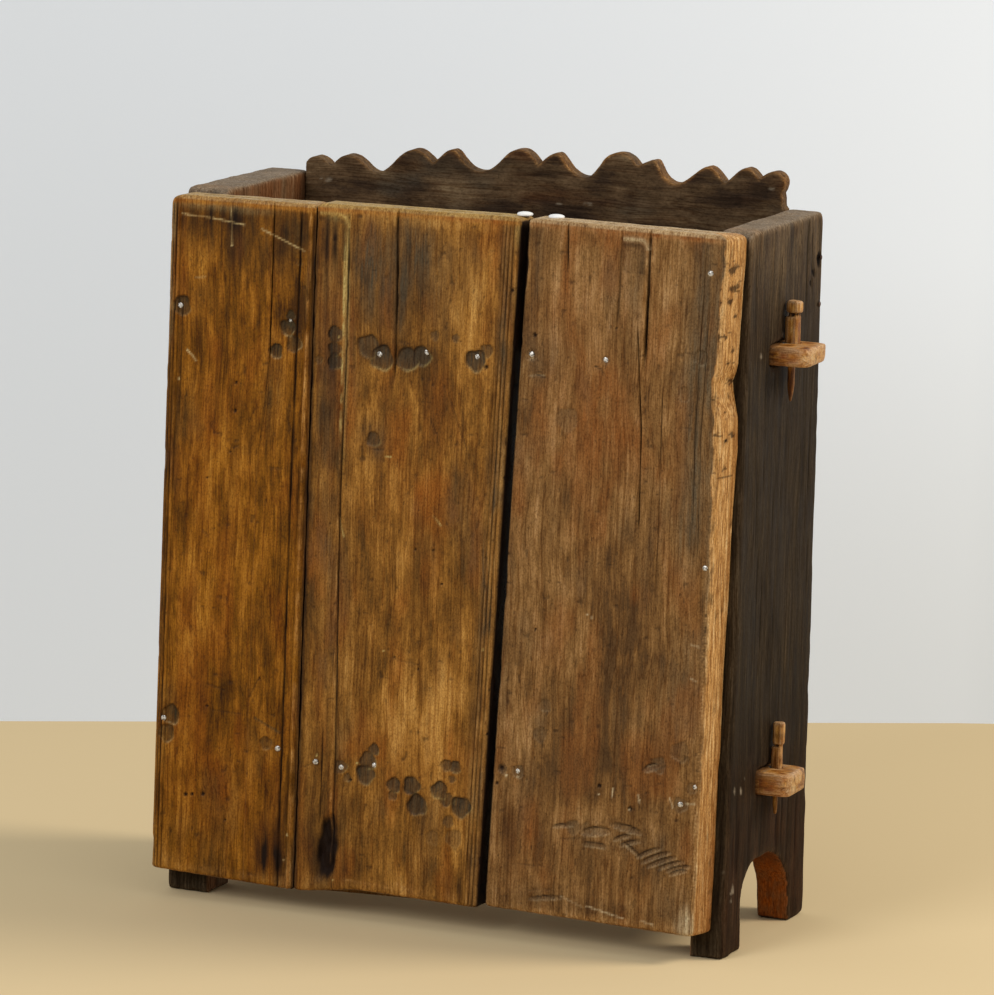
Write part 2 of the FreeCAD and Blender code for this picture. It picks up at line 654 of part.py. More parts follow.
class Board:
    """A front board, with the lines of its two long edges from foot to top."""

    def __init__(self, name, left_edge, right_edge, sole=(), front_right_edge=None):
        self.name = name
        self.raw_edge = bool(front_right_edge)
        self.body = new_body("front_board_" + name)
        lean_back(self.body)
        outline = new_sketch(self.body, "XZ_Plane", name + "_outline")
        down_left = tuple(reversed(left_edge))
        pin_corners(outline, right_edge + down_left + sole)
        doc.recompute()
        points = [line.StartPoint for line in outline.Geometry]
        self.right = points[:len(right_edge)]
        self.left = points[len(right_edge):len(right_edge) + len(left_edge)][::-1]
        if front_right_edge:
            front = new_sketch(self.body, "XZ_Plane", name + "_front_outline", "board_thickness")
            pin_corners(front, front_right_edge + down_left + sole)
            add_loft(self.body, [outline, front], name + "_plank")
        else:
            add_pad(self.body, outline, name + "_plank", "board_thickness")
        doc.recompute()

    def edge(self, line, up):
        for low, high in zip(line, line[1:]):
            if up <= high.y or high is line[-1]:
                share = (up - low.y) / (high.y - low.y)
                return low.x + share * (high.x - low.x)

    def across(self, share, up):
        """The place at a share of the board's width, at a height."""
        left = self.edge(self.left, up)
        return left + share * (self.edge(self.right, up) - left)

    def top(self):
        return max(self.left[-1].y, self.right[-1].y)

    def raw_edge_line(self, up):
        """Just inside the front of a bevelled right edge, at a height."""
        within = min(max(up, self.right[0].y), self.right[-1].y)
        return self.edge(self.right, within) - 1.5 * size("edge_bevel")

    def wear(self):
        face = -size("board_thickness")
        near = size("board_round")
        lower_top = min(self.left[-1].y, self.right[-1].y)
        round_edges(self.body, self.name + "_corners", "board_corner_round",
                    lambda middle, edge: along(edge, Vector(0, 1, 0))
                    and middle.z > lower_top - near)
        round_edges(self.body, self.name + "_arrises", "board_round",
                    lambda middle, edge: abs(middle.y - face) < near / 2
                    and not (self.raw_edge and middle.x > self.raw_edge_line(middle.z)))

    def cut(self, name, loops, depth):
        """Cuts closed loops drawn on the board's front face to one depth."""
        sketch = new_sketch(self.body, "XZ_Plane", f"{self.name}_{name}", "board_thickness")
        for loop in loops:
            draw_loop(sketch, loop)
        add_pocket(self.body, sketch, f"{self.name}_{name}_cut", depth)

    def groove(self, line, inset_foot, inset_top, width):
        """A straight groove beside one long edge, over the whole height."""
        low, high = line[0], line[-1]
        rise = high.y - low.y
        spare = size("cut_overrun")
        slope = (high.x + inset_top - low.x - inset_foot) / rise
        foot = low.x + inset_foot - slope * spare
        top = high.x + inset_top + slope * spare
        return [
            flat(foot - width / 2, low.y - spare), flat(foot + width / 2, low.y - spare),
            flat(top + width / 2, high.y + spare), flat(top - width / 2, high.y + spare)]

    def split(self, shares, width):
        """A drying split that closes from its mouth to its tip."""
        (mouth_across, mouth_up), (tip_across, tip_up) = shares
        top = self.top()
        spare = size("cut_overrun") if mouth_up == 1 else 0
        mouth_height = mouth_up * top
        tip_height = tip_up * top
        mouth = self.across(mouth_across, mouth_height)
        tip = self.across(tip_across, tip_height)
        return [
            flat(tip, tip_height),
            flat(mouth + width / 2, mouth_height + spare),
            flat(mouth - width / 2, mouth_height + spare)]

    def nail_holes(self, places):
        sketch = new_sketch(self.body, "XZ_Plane", self.name + "_nail_holes", "board_thickness")
        draw_circles(sketch, places, "nail_radius + nail_clearance")
        add_pocket(self.body, sketch, self.name + "_nail_hole_cut", "board_thickness")

    def nail_places(self):
        """Nail places in the board's plane, by what each nail goes into."""
        places = {}
        for level, shares in nail_shares[self.name].items():
            thick = size(level + "_shelf_thickness")
            middle = value(shelf_under[level]) + thick / 2
            middle += size("board_thickness") * math.sin(front_tilt) / 2
            start = max(self.edge(self.left, middle), inside_left)
            end = min(self.edge(self.right, middle), inside_right)
            places[level] = [
                flat(start + share * (end - start), middle + lift * thick)
                for share, lift in shares]
        return places


def rounded_strip(left_foot_place, right_foot_place, left_top_place, right_top_place):
    """Corner points of a sunk strip with its top right corner cut round."""
    turn = size("strip_round")
    reach = turn * (1 - math.cos(math.radians(45)))
    return [
        left_foot_place, right_foot_place,
        flat(right_top_place.x, right_top_place.y - turn),
        flat(right_top_place.x - reach, right_top_place.y - reach),
        flat(right_top_place.x - turn, right_top_place.y),
        left_top_place]


left_board = Board(
    "left",
    left_edge=((left_foot, "left_foot_height"), (left_top, "panel_height - left_top_drop")),
    right_edge=((seam_foot, "seam_foot_height"),
                (seam_top, "panel_height - left_seam_top_drop")),
)
middle_board = Board(
    "middle",
    left_edge=((middle_foot, "seam_foot_height"),
               (middle_top, "panel_height - seam_top_drop")),
    right_edge=((gap_foot, "gap_foot_height"), (gap_top, gap_board_top)),
    sole=((f"{middle_foot} + middle_board_foot_width * {worn_foot_share}",
           "worn_foot_height"),),
)
right_board = Board(
    "right",
    left_edge=((right_foot, "right_inner_foot_height"), (right_top, right_board_top)),
    right_edge=step_corners("0"),
    front_right_edge=step_corners("edge_bevel"),
)
boards = (left_board, middle_board, right_board)
for board in boards:
    board.wear()

pitch = size("reed_pitch")
margin = size("reed_margin")
reed = size("reed_width")
left_board.cut(
    "reeds",
    [left_board.groove(left_board.left, margin + pitch * i, margin + pitch * i, reed)
     for i in range(left_reed_count)],
    "reed_depth",
)
band = size("band_width")
line = band * band_line_share
left_board.cut(
    "quirk",
    [left_board.groove(left_board.right, -band, -band, size("quirk_width")),
     left_board.groove(left_board.right, -line, -line, reed)],
    "reed_depth",
)

strip_margin = size("strip_margin")
strip_stop = size("strip_stop")
strip_foot_edge = strip_margin + size("strip_foot_width")
strip_top_edge = strip_margin + size("strip_top_width")
low, high = middle_board.left
middle_board.cut(
    "strip",
    [rounded_strip(
        flat(low.x + strip_margin, low.y - size("cut_overrun")),
        flat(low.x + strip_foot_edge, low.y - size("cut_overrun")),
        flat(high.x + strip_margin, high.y - strip_stop),
        flat(high.x + strip_top_edge, high.y - strip_stop))],
    "strip_depth",
)
middle_board.cut(
    "quirk",
    [middle_board.groove(
        middle_board.left, strip_foot_edge + reed, strip_top_edge + reed,
        size("quirk_width"))],
    "quirk_depth",
)
middle_board.cut(
    "reeds",
    [middle_board.groove(middle_board.right, -margin - pitch * i, -margin - pitch * i, reed)
     for i in range(middle_reed_count)],
    "reed_depth",
)
middle_board.cut(
    "split", [middle_board.split(middle_split_shares, size("hair_split_width"))], "split_depth")
knot_middle = flat(
    middle_board.across(knot_place_share, size("knot_middle_height")),
    size("knot_middle_height"))
middle_board.cut(
    "knot",
    [[knot_middle + flat(
        size("knot_width") / 2 * math.cos(2 * math.pi * i / knot_sides),
        size("knot_height") / 2 * math.sin(2 * math.pi * i / knot_sides))
      for i in range(knot_sides)]],
    "knot_depth",
)

strip_right = right_board.across(
    short_strip_share, right_board.top()) + size("short_strip_width")
strip_left = strip_right - size("short_strip_width")
strip_top = right_board.top() - strip_stop
strip_foot = strip_top - size("short_strip_length")
right_board.cut(
    "strip",
    [rounded_strip(
        flat(strip_left, strip_foot), flat(strip_right, strip_foot),
        flat(strip_left, strip_top), flat(strip_right, strip_top))],
    "strip_depth",
)
right_board.cut(
    "splits",
    [right_board.split(right_split_shares, size("split_width")),
     right_board.split(fine_split_shares, size("hair_split_width")),
     right_board.split(short_split_shares, size("hair_split_width"))],
    "split_depth",
)

# Where the nails go: each place is in the boards' leaning plane.
tall = size("panel_height")
panel_nails = {
    "left": [
        flat(size("left_nail_inset") - panel_outside, share * tall)
        for share in left_panel_nail_shares],
    "right": [
        flat(panel_outside - size("right_nail_inset"), share * tall)
        for share in right_panel_nail_shares],
}
shelf_nails = {"upper": [], "lower": []}
for board in boards:
    board_places = board.nail_places()
    for level, found in board_places.items():
        shelf_nails[level] += found
    all_places = sum(board_places.values(), []) + panel_nails.get(board.name, [])
    board.nail_holes(all_places)

    nails = new_body(f"nails_{board.name}_board")
    lean_back(nails)
    heads = new_sketch(nails, "XZ_Plane", board.name + "_nail_heads", "board_thickness")
    draw_rounds(heads, all_places, size("nail_head_radius"), head_sides)
    add_pad(nails, heads, board.name + "_nail_head_discs", "nail_head_height")
    shanks = new_sketch(nails, "XZ_Plane", board.name + "_nail_shanks", "board_thickness")
    draw_rounds(shanks, all_places, size("nail_radius"), shank_sides)
    add_pad(nails, shanks, board.name + "_nail_wires", "nail_length", reverse=True)

shelf("upper_shelf", "upper", shelf_nails["upper"])
shelf("lower_shelf", "lower", shelf_nails["lower"])
side_panel("left_side_panel", -1, panel_nails["left"])
side_panel("right_side_panel", 1, panel_nails["right"])

for side_name, side in (("left", -1), ("right", 1)):
    for level in ("upper", "lower"):
        wedge(f"{level}_{side_name}_wedge", level, side)

# Crest board, in the plane of the panels' rear edges

crest = new_body("crest_board")
crest.Placement = Placement(Vector(), Rotation(Vector(1, 0, 0), math.degrees(rear_tilt)))
bind(crest, "Placement.Base.y", "foot_depth - " + middle_depth)
crest_left = inside_left + size("fit_clearance")
crest_right = inside_right - size("fit_clearance")
seat = value(shelf_under["upper"] + " + upper_shelf_thickness")
crest_foot = (
    (seat + size("crest_thickness") * math.sin(rear_tilt)) / math.cos(rear_tilt)
    + size("nail_clearance")
)
scallop_base = value("panel_height + crest_shoulder_rise") / math.cos(rear_tilt)


def crest_place(along_share, rise_share):
    return flat(
        crest_left + (crest_right - crest_left) * along_share,
        scallop_base + size("scallop_depth") * rise_share)


crest_outline = new_sketch(crest, "XZ_Plane", "crest_outline")
for run in scallop_shares:
    curve = Part.BSplineCurve()
    curve.interpolate([crest_place(*point) for point in run])
    crest_outline.addGeometry(curve)
corners = [crest_place(*scallop_shares[-1][-1])]
corners += [crest_place(*point) for point in crest_end_shares]
corners.append(flat(crest_right, corners[-1].y))
corners.append(flat(crest_right, crest_foot))
corners.append(flat(crest_left, crest_foot))
corners.append(crest_place(*scallop_shares[0][0]))
for start, end in zip(corners, corners[1:]):
    crest_outline.addGeometry(Part.LineSegment(start, end))
add_pad(crest, crest_outline, "crest_plank", "crest_thickness")
for side_name, side in (("left", -1), ("right", 1)):
    thickness = panel_thickness[side]
    holes = new_sketch(
        crest, "YZ_Plane", side_name + "_crest_nail_holes",
        f"{side} * (overall_width / 2 - {thickness} - fit_clearance)")
    draw_circles(holes, [flat(*place) for place in crest_nail_places()],
                 "nail_radius + nail_clearance")
    add_pocket(crest, holes, side_name + "_crest_hole_cut",
               f"crest_nail_length - {thickness} + fit_clearance", reverse=side < 0)

    nails = new_body("crest_nails_" + side_name)
    stand_upright(nails)
    places = [crest_point(*place) for place in crest_nail_places()]
    heads = new_sketch(nails, "YZ_Plane", side_name + "_crest_nail_heads",
                       f"{side} * overall_width / 2")
    draw_rounds(heads, places, size("nail_head_radius"), head_sides)
    add_pad(nails, heads, side_name + "_crest_head_discs", "nail_head_height",
            reverse=side < 0)
    shanks = new_sketch(nails, "YZ_Plane", side_name + "_crest_nail_shanks",
                        f"{side} * overall_width / 2")
    draw_rounds(shanks, places, size("nail_radius"), shank_sides)
    add_pad(nails, shanks, side_name + "_crest_nail_wires", "crest_nail_length",
            reverse=side > 0)

# Domed pads on the boards' top edge

pad_seat = f"(max({gap_board_top}; {right_board_top}) + nail_clearance)"
pad_forward = "(board_thickness - pad_back)"
for side_name, place in (
    ("left", gap_top + " - left_pad_inset"),
    ("right", right_top + " + right_pad_inset"),
):
    pad = new_body("edge_pad_" + side_name)
    lean_back(pad)
    bind(pad, "Placement.Base.x", place)
    bind(pad, "Placement.Base.y",
         f"{pad_seat} * sin({lean_angle}) - {pad_forward} * cos({lean_angle}) - {middle_depth}")
    bind(pad, "Placement.Base.z",
         f"{pad_seat} * cos({lean_angle}) + {pad_forward} * sin({lean_angle})")
    profile = new_sketch(pad, "XZ_Plane", side_name + "_pad_profile")
    radius = size("pad_radius")
    rim = size("pad_rim")
    height = size("pad_height")
    dome = [flat(radius * out, rim + (height - rim) * up) for out, up in dome_shares]
    draw_loop(profile, [
        flat(0, 0), flat(radius, 0), flat(radius, rim), *dome, flat(0, height)])
    turned = pad.newObject("PartDesign::Revolution", side_name + "_pad_dome")
    turned.Profile = profile
    turned.ReferenceAxis = (profile, ["V_Axis"])

# Checks, then one STEP file for each piece

doc.recompute()
failed = [
    thing.Name for thing in doc.Objects
    if {"Invalid", "Error"} & set(thing.State)]
if failed:
    raise RuntimeError("failed: " + ", ".join(failed))
os.makedirs("parts", exist_ok=True)
for body in pieces:
    shape = body.Shape
    if shape.isNull() or not shape.isValid() or not shape.Solids:
        raise RuntimeError(body.Label + " has no sound shape")
    shape.exportStep(f"parts/{body.Label}.step")
    box = shape.optimalBoundingBox(False)
    print(
        f"{body.Label}: {len(shape.Solids)} solid(s), {shape.Volume / 1000:.1f} cm3,"
        f" X {box.XMin:.1f} {box.XMax:.1f} Y {box.YMin:.1f} {box.YMax:.1f}"
        f" Z {box.ZMin:.1f} {box.ZMax:.1f}")
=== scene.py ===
import math
import bpy
import numpy as np
from mathutils import Matrix, Vector


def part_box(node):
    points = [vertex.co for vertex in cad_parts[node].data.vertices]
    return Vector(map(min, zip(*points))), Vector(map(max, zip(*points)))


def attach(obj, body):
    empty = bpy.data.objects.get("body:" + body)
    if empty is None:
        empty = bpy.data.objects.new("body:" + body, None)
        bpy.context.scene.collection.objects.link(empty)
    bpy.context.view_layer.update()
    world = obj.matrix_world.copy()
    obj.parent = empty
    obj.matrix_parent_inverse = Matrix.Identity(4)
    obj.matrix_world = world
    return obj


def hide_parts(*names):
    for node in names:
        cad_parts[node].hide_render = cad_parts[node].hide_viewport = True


# An old knock-down plank cupboard in mixed country woods. The boards, panels,
# crest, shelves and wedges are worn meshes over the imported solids, with dents,
# splits, rubbed arrises and saw marks in the mesh and fine grain in the wood.
# Lengths in the dictionaries are millimetres: x to the right, y back, z up.

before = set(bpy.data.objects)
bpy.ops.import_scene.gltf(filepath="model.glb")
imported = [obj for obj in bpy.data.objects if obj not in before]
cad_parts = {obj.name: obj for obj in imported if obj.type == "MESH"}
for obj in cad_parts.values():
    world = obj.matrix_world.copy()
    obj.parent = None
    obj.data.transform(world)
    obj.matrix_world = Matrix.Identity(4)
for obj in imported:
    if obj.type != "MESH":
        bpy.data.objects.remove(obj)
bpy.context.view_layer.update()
mm = 0.001
print("frame loaded:", len(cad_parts), "nodes")


# Small tools

def linear(hexColour):
    channels = [int(hexColour[i:i + 2], 16) / 255 for i in (1, 3, 5)]
    return [c / 12.92 if c <= 0.04045 else ((c + 0.055) / 1.055) ** 2.4 for c in channels] + [1.0]


def addNode(tree, kind, settings=None, links=None):
    node = tree.nodes.new(kind)
    for name, value in (settings or {}).items():
        if isinstance(name, str) and hasattr(node, name):
            setattr(node, name, value)
        else:
            node.inputs[name].default_value = value
    for name, source in (links or {}).items():
        tree.links.new(source, node.inputs[name])
    return node


def setRamp(node, stops):
    stops = list(stops)
    elements = node.color_ramp.elements
    while len(elements) < len(stops):
        elements.new(0.5)
    for element, (place, hexColour) in zip(elements, stops):
        element.position = place
        element.color = linear(hexColour)
    return node.outputs["Color"]


def emptyTree(owner):
    owner.use_nodes = True
    owner.node_tree.nodes.clear()
    return owner.node_tree


def smooth(value, low, high):
    share = np.clip((value - low) / (high - low), 0.0, 1.0)
    return share * share * (3 - 2 * share)


def bell(value, middle, half):
    return np.exp(-((value - middle) / half) ** 2)


def noiseAt(points, cell, seed, octaves=1):
    # smooth noise from -1 to 1; cell is the size of one bump along x, y and z
    total = np.zeros(points.shape[:-1])
    weight = 1.0
    for octave in range(octaves):
        scaled = points / (np.array(cell, float) / 2 ** octave) + 37.3 * octave
        base = np.floor(scaled).astype(np.int64)
        part = scaled - base
        part = part * part * (3 - 2 * part)
        layer = np.zeros(points.shape[:-1])
        for corner in np.ndindex(2, 2, 2):
            at = base + np.array(corner)
            mixed = at[..., 0] * 374761393 + at[..., 1] * 668265263 + at[..., 2] * 1440662683
            mixed = (mixed + (seed + octave * 57) * 1274126177) & 0xFFFFFFFF
            mixed = ((mixed ^ (mixed >> 13)) * 1274126177) & 0xFFFFFFFF
            mixed = (mixed ^ (mixed >> 16)) / 0xFFFFFFFF
            share = np.ones(points.shape[:-1])
            for axis in range(3):
                share = share * (part[..., axis] if corner[axis] else 1 - part[..., axis])
            layer += share * mixed
        total += weight * (layer * 2 - 1)
        weight *= 0.5
    return total


def varied(points, seed, middle, share, cell, step, octaves):
    # wanders about its middle by a share of the noise; the pieces' dictionaries hold such rows
    return middle + share * noiseAt(points, cell, seed + step, octaves)


def roughness(points, seed, rows):
    # each row is a height, a cell, a step of the seed and octaves
    return sum(height * noiseAt(points, cell, seed + step, octaves)
               for height, cell, step, octaves in rows)


zoneNames = ("tone", "dirt", "bare", "warm", "grey", "pale")  # painted amounts that the woods read


def paint(zones, points, seed, masks, rows):
    # a row is zone, mask and amount, then for noise its share, cell, step of the seed, octaves and,
    # where it is to come in patches, the two ends of a soft step
    for zone, mask, amount, *noise in rows:
        if noise:
            share, cell, step, octaves, *ends = noise
            values = noiseAt(points, cell, seed + step, octaves)
            amount = amount + share * (smooth(values, *ends) if ends else values)
        zones[zone] = zones[zone] + masks[mask] * amount


def most(zones, zone, amount):
    zones[zone] = np.maximum(zones[zone], amount)


def setZones(mesh, zones):
    for name, values in zones.items():
        layer = mesh.attributes.new(name, "FLOAT", "POINT")
        layer.data.foreach_set("value", np.clip(values, -1, 1).astype(np.float32).ravel())


def finishPiece(name, mesh, body, material, node):
    piece = bpy.data.objects.new(name, mesh)
    bpy.context.scene.collection.objects.link(piece)
    mesh.materials.clear()
    mesh.materials.append(materials[material])
    mesh.polygons.foreach_set("use_smooth", [True] * len(mesh.polygons))
    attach(piece, body)
    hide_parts(node)
    print("piece", name, len(mesh.polygons), "faces")


# Woods

# Each wood is its real timber. Mottle is wax and stain, the streaks and growth lines follow
# the grain, the fibres are its finest lines, pores and nicks are short dark marks along and
# across it. Sizes are millimetres across and along the grain, then the noise's detail.
amberPine = {  # hand planed and waxed for generations: amber, cloudy, satin
    "name": "amber_pine", "grain": 2, "sway": 12,
    "layers": {"mottle": (15, 48, 5), "streak": (5, 110, 4), "fine": (2.2, 26, 4), "fibre": (1.3, 10, 3),
               "growth": (4.5, 320, 1), "pore": (1.5, 6, 2), "nick": (5, 1.8, 2), "grit": (1.7, 2.6, 3)},
    "mix": {"mottle": 0.46, "streak": 0.34, "fine": 0.20},
    "stops": (0.34, 0.43, 0.50, 0.57, 0.68), "ramp": "#52320a #73490c #8f5c14 #a87021 #c68e34",
    "bareStops": (0.36, 0.50, 0.64), "bare": "#8a5a2a #b98644 #dcae6c",
    "tints": {"warm": "#8a4b10", "grey": "#4a4029", "pale": "#d2be88"},
    "dirt": "#1c110a", "roughness": (0.38, 0.54), "bump": 0.14, "gloss": 0.08,
}
rubbedPine = {  # the same, rubbed lighter by hands and knees
    **amberPine, "name": "rubbed_pine", "ramp": "#5c401c #7b5421 #936629 #ae7d38 #cb9a50",
    "tints": {"warm": "#98571a", "grey": "#554a38", "pale": "#ceb974"},
}
wornPine = {  # drier and browner, its raw edge bare and golden
    **amberPine, "name": "worn_pine", "ramp": "#604629 #785730 #8c683b #a17b4b #bd9766",
    "bareStops": (0.36, 0.47, 0.56, 0.68), "bare": "#a06f38 #cf9c5b #e6ba7c #f3d9a8",
    "tints": {"warm": "#925a28", "grey": "#675a45", "pale": "#d4c49e"}, "roughness": (0.42, 0.58),
}
smokedOak = {  # blackened by hearth smoke, unwaxed: dry, nearly black, greyer where handled
    "name": "smoked_oak", "grain": 2, "sway": 14,
    "layers": {"mottle": (24, 90, 4), "streak": (6, 170, 4), "fine": (2.2, 50, 4), "fibre": (1.3, 20, 3),
               "growth": (5, 380, 1), "pore": (1.6, 12, 2), "nick": (6, 2.2, 2), "grit": (1.8, 4.5, 3)},
    "mix": {"mottle": 0.30, "streak": 0.38, "fine": 0.32},
    "stops": (0.34, 0.43, 0.50, 0.57, 0.70), "ramp": "#1a130b #292014 #352b1d #453a2a #6b5a41",
    "bareStops": (0.34, 0.50, 0.66), "bare": "#67503a #94795a #b9a080",
    "tints": {"warm": "#a0561a", "grey": "#453d34", "pale": "#a89f8e"},
    "dirt": "#0d0907", "roughness": (0.56, 0.76), "bump": 0.22, "gloss": 0.05,
}
smokedPoplar = {  # the same smoke on a finer wood: brown-black, cloudy, pale where it is rubbed
    "name": "smoked_poplar", "grain": 0, "sway": 14,
    "layers": {"mottle": (30, 62, 5), "streak": (6, 130, 4), "fine": (2.2, 44, 4), "fibre": (1.4, 20, 3),
               "growth": (6, 300, 1), "pore": (1.6, 9, 2), "nick": (6, 2.4, 2), "grit": (1.8, 4.0, 3)},
    "mix": {"mottle": 0.66, "streak": 0.22, "fine": 0.12},
    "stops": (0.34, 0.44, 0.50, 0.57, 0.70), "ramp": "#2a1e13 #423222 #54412b #6a543a #8c7656",
    "bareStops": (0.34, 0.50, 0.68), "bare": "#5c3c1c #946a38 #bd955f",
    "tints": {"warm": "#6f3d14", "grey": "#5b5444", "pale": "#aa9f88"},
    "dirt": "#130d09", "roughness": (0.56, 0.74), "bump": 0.22, "gloss": 0.07,
}
oiledBeech = {  # sawn and chopped, darkened by hands: orange-brown, end grain greyish
    "name": "oiled_beech", "grain": 0, "sway": 6,
    "layers": {"mottle": (11, 18, 4), "streak": (5, 90, 3), "fine": (2.0, 36, 3), "fibre": (1.2, 12, 3),
               "growth": (5, 160, 1), "pore": (1.3, 5, 2), "nick": (4, 1.6, 2), "grit": (1.4, 2.0, 3)},
    "mix": {"mottle": 0.44, "streak": 0.30, "fine": 0.26},
    "stops": (0.34, 0.43, 0.50, 0.57, 0.70), "ramp": "#7c4610 #b47423 #d99c46 #eebb6e #f8d99e",
    "bareStops": (0.34, 0.50, 0.68), "bare": "#b08452 #d2aa7c #e8cba4",
    "tints": {"warm": "#a0500f", "grey": "#806e50", "pale": "#dcc096"},
    "dirt": "#2c1a0e", "roughness": (0.42, 0.60), "bump": 0.20, "gloss": 0.22,
}
whittledAsh = {  # knife facets polished by wear: light, edges lighter still, partly a painted highlight
    **oiledBeech, "name": "whittled_ash", "grain": 2,
    "layers": {"mottle": (7, 14, 4), "streak": (3.4, 60, 3), "fine": (1.6, 30, 3), "fibre": (1.0, 12, 3),
               "growth": (4, 120, 1), "pore": (1.2, 5, 2), "nick": (4, 1.4, 2), "grit": (1.2, 1.8, 3)},
    "ramp": "#64380f #94601f #bb8338 #d6a04e #ecc478",
}
grainLook = {  # what all the woods share
    "swayCell": 140, "noiseRoughness": 0.6, "tone": 0.19,
    "broken": {1: 0.34, 2: 0.66, 3: 0.60, 4: 1.20},  # tints and rubbed wood break up along the fibres
    "lines": {"fibre": ((0.32, "#dfdad4"), (0.50, "#f7f5f3"), (0.62, "#ffffff")),
              "grit": ((0.34, "#cdc7c0"), (0.50, "#f2f0ee"), (0.64, "#ffffff")),
              "growth": ((0.45, "#ffffff"), (0.50, "#d3c5b4"), (0.55, "#ffffff"))},
    "marks": {"pore": 0.50, "nick": 0.42}, "markEnds": {1: 0.68, 2: 0.76, 3: 0.0},
    "sheen": {1: 0.35, 2: 0.65}, "dirtDulls": 0.25, "fineHeight": 0.7, "bumpStrength": 0.8,
}


def woodMaterial(facts):
    # planed or cleft by hand, stained by use: cloudy colour over a fine grain, under a broken sheen
    look = grainLook
    material = bpy.data.materials.new(facts["name"])
    tree = emptyTree(material)
    place = addNode(tree, "ShaderNodeTexCoord").outputs["Object"]
    sway = addNode(tree, "ShaderNodeTexNoise", {"Scale": 1 / (look["swayCell"] * mm), "Detail": 1.0},
                   {"Vector": place})
    centred = addNode(tree, "ShaderNodeVectorMath", {"operation": "SUBTRACT", 1: (0.5, 0.5, 0.5)},
                      {0: sway.outputs["Color"]})
    shift = [facts["sway"] * mm] * 3
    shift[facts["grain"]] = 0.0
    scaled = addNode(tree, "ShaderNodeVectorMath", {"operation": "MULTIPLY", 1: shift},
                     {0: centred.outputs[0]})
    swayed = addNode(tree, "ShaderNodeVectorMath", {"operation": "ADD"}, {0: place, 1: scaled.outputs[0]})
    noises = {}
    for layer, (across, along, detail) in facts["layers"].items():
        stretch = [1 / (across * mm)] * 3
        stretch[facts["grain"]] = 1 / (along * mm)
        stretched = addNode(tree, "ShaderNodeVectorMath", {"operation": "MULTIPLY", 1: stretch},
                            {0: swayed.outputs[0]})
        noise = addNode(tree, "ShaderNodeTexNoise",
                        {"Scale": 1.0, "Detail": detail, "Roughness": look["noiseRoughness"]},
                        {"Vector": stretched.outputs[0]})
        noises[layer] = noise.outputs["Fac"]
    zones = {zone: addNode(tree, "ShaderNodeAttribute", {"attribute_name": zone}).outputs["Fac"]
             for zone in zoneNames}
    # the stain's height in the ramp: weighted noises, moved by the painted tone
    level = addNode(tree, "ShaderNodeMath", {"operation": "MULTIPLY", 1: look["tone"]},
                    {0: zones["tone"]})
    for layer, weight in facts["mix"].items():
        level = addNode(tree, "ShaderNodeMath", {"operation": "MULTIPLY_ADD", 1: weight},
                        {0: noises[layer], 2: level.outputs[0]})
    colour = setRamp(addNode(tree, "ShaderNodeValToRGB", {}, {"Fac": level.outputs[0]}),
                     zip(facts["stops"], facts["ramp"].split()))
    broken = addNode(tree, "ShaderNodeMapRange", look["broken"], {0: noises["fine"]})
    scraped = addNode(tree, "ShaderNodeMix", {"data_type": "FLOAT", 0: 0.5},
                      {2: noises["streak"], 3: noises["fine"]})
    bare = setRamp(addNode(tree, "ShaderNodeValToRGB", {}, {"Fac": scraped.outputs[0]}),
                   zip(facts["bareStops"], facts["bare"].split()))
    for zone in (*facts["tints"], "bare"):
        amount = addNode(tree, "ShaderNodeMath", {"operation": "MULTIPLY", "use_clamp": True},
                         {0: zones[zone], 1: broken.outputs[0]})
        tint = addNode(tree, "ShaderNodeMix", {"data_type": "RGBA"}, {0: amount.outputs[0], 6: colour})
        if zone == "bare":
            tree.links.new(bare, tint.inputs[7])
        else:
            tint.inputs[7].default_value = linear(facts["tints"][zone])
        colour = tint.outputs[2]
    for layer, stops in look["lines"].items():
        lines = setRamp(addNode(tree, "ShaderNodeValToRGB", {}, {"Fac": noises[layer]}), stops)
        colour = addNode(tree, "ShaderNodeMix", {"data_type": "RGBA", "blend_type": "MULTIPLY", 0: 1.0},
                         {6: colour, 7: lines}).outputs[2]
    dark = zones["dirt"]
    for layer, depth in look["marks"].items():
        mark = addNode(tree, "ShaderNodeMapRange", {**look["markEnds"], 4: depth}, {0: noises[layer]})
        dark = addNode(tree, "ShaderNodeMath", {"operation": "MAXIMUM"},
                       {0: mark.outputs[0], 1: dark}).outputs[0]
    colour = addNode(tree, "ShaderNodeMix", {"data_type": "RGBA", 7: linear(facts["dirt"])},
                     {0: dark, 6: colour}).outputs[2]
    low, high = facts["roughness"]
    sheen = addNode(tree, "ShaderNodeMapRange", {**look["sheen"], 3: low, 4: high}, {0: noises["mottle"]})
    rough = addNode(tree, "ShaderNodeMath",
                    {"operation": "MULTIPLY_ADD", 1: look["dirtDulls"], "use_clamp": True},
                    {0: dark, 2: sheen.outputs[0]})
    height = addNode(tree, "ShaderNodeMath", {"operation": "MULTIPLY_ADD", 1: look["fineHeight"]},
                     {0: noises["fine"], 2: noises["fibre"]})
    sunk = addNode(tree, "ShaderNodeMath", {"operation": "SUBTRACT"}, {0: height.outputs[0], 1: dark})
    bump = addNode(tree, "ShaderNodeBump",
                   {"Strength": look["bumpStrength"], "Distance": facts["bump"] * mm},
                   {"Height": sunk.outputs[0]})
    surface = addNode(tree, "ShaderNodeBsdfPrincipled",
                      {"Specular IOR Level": facts["gloss"], "IOR": 1.5},
                      {"Base Color": colour, "Roughness": rough.outputs[0], "Normal": bump.outputs[0]})
    addNode(tree, "ShaderNodeOutputMaterial", {}, {"Surface": surface.outputs[0]})
    return material


materials = {}
for facts in (amberPine, rubbedPine, wornPine, smokedOak, smokedPoplar, oiledBeech, whittledAsh):
    materials[facts["name"]] = woodMaterial(facts)
print("woods ready")


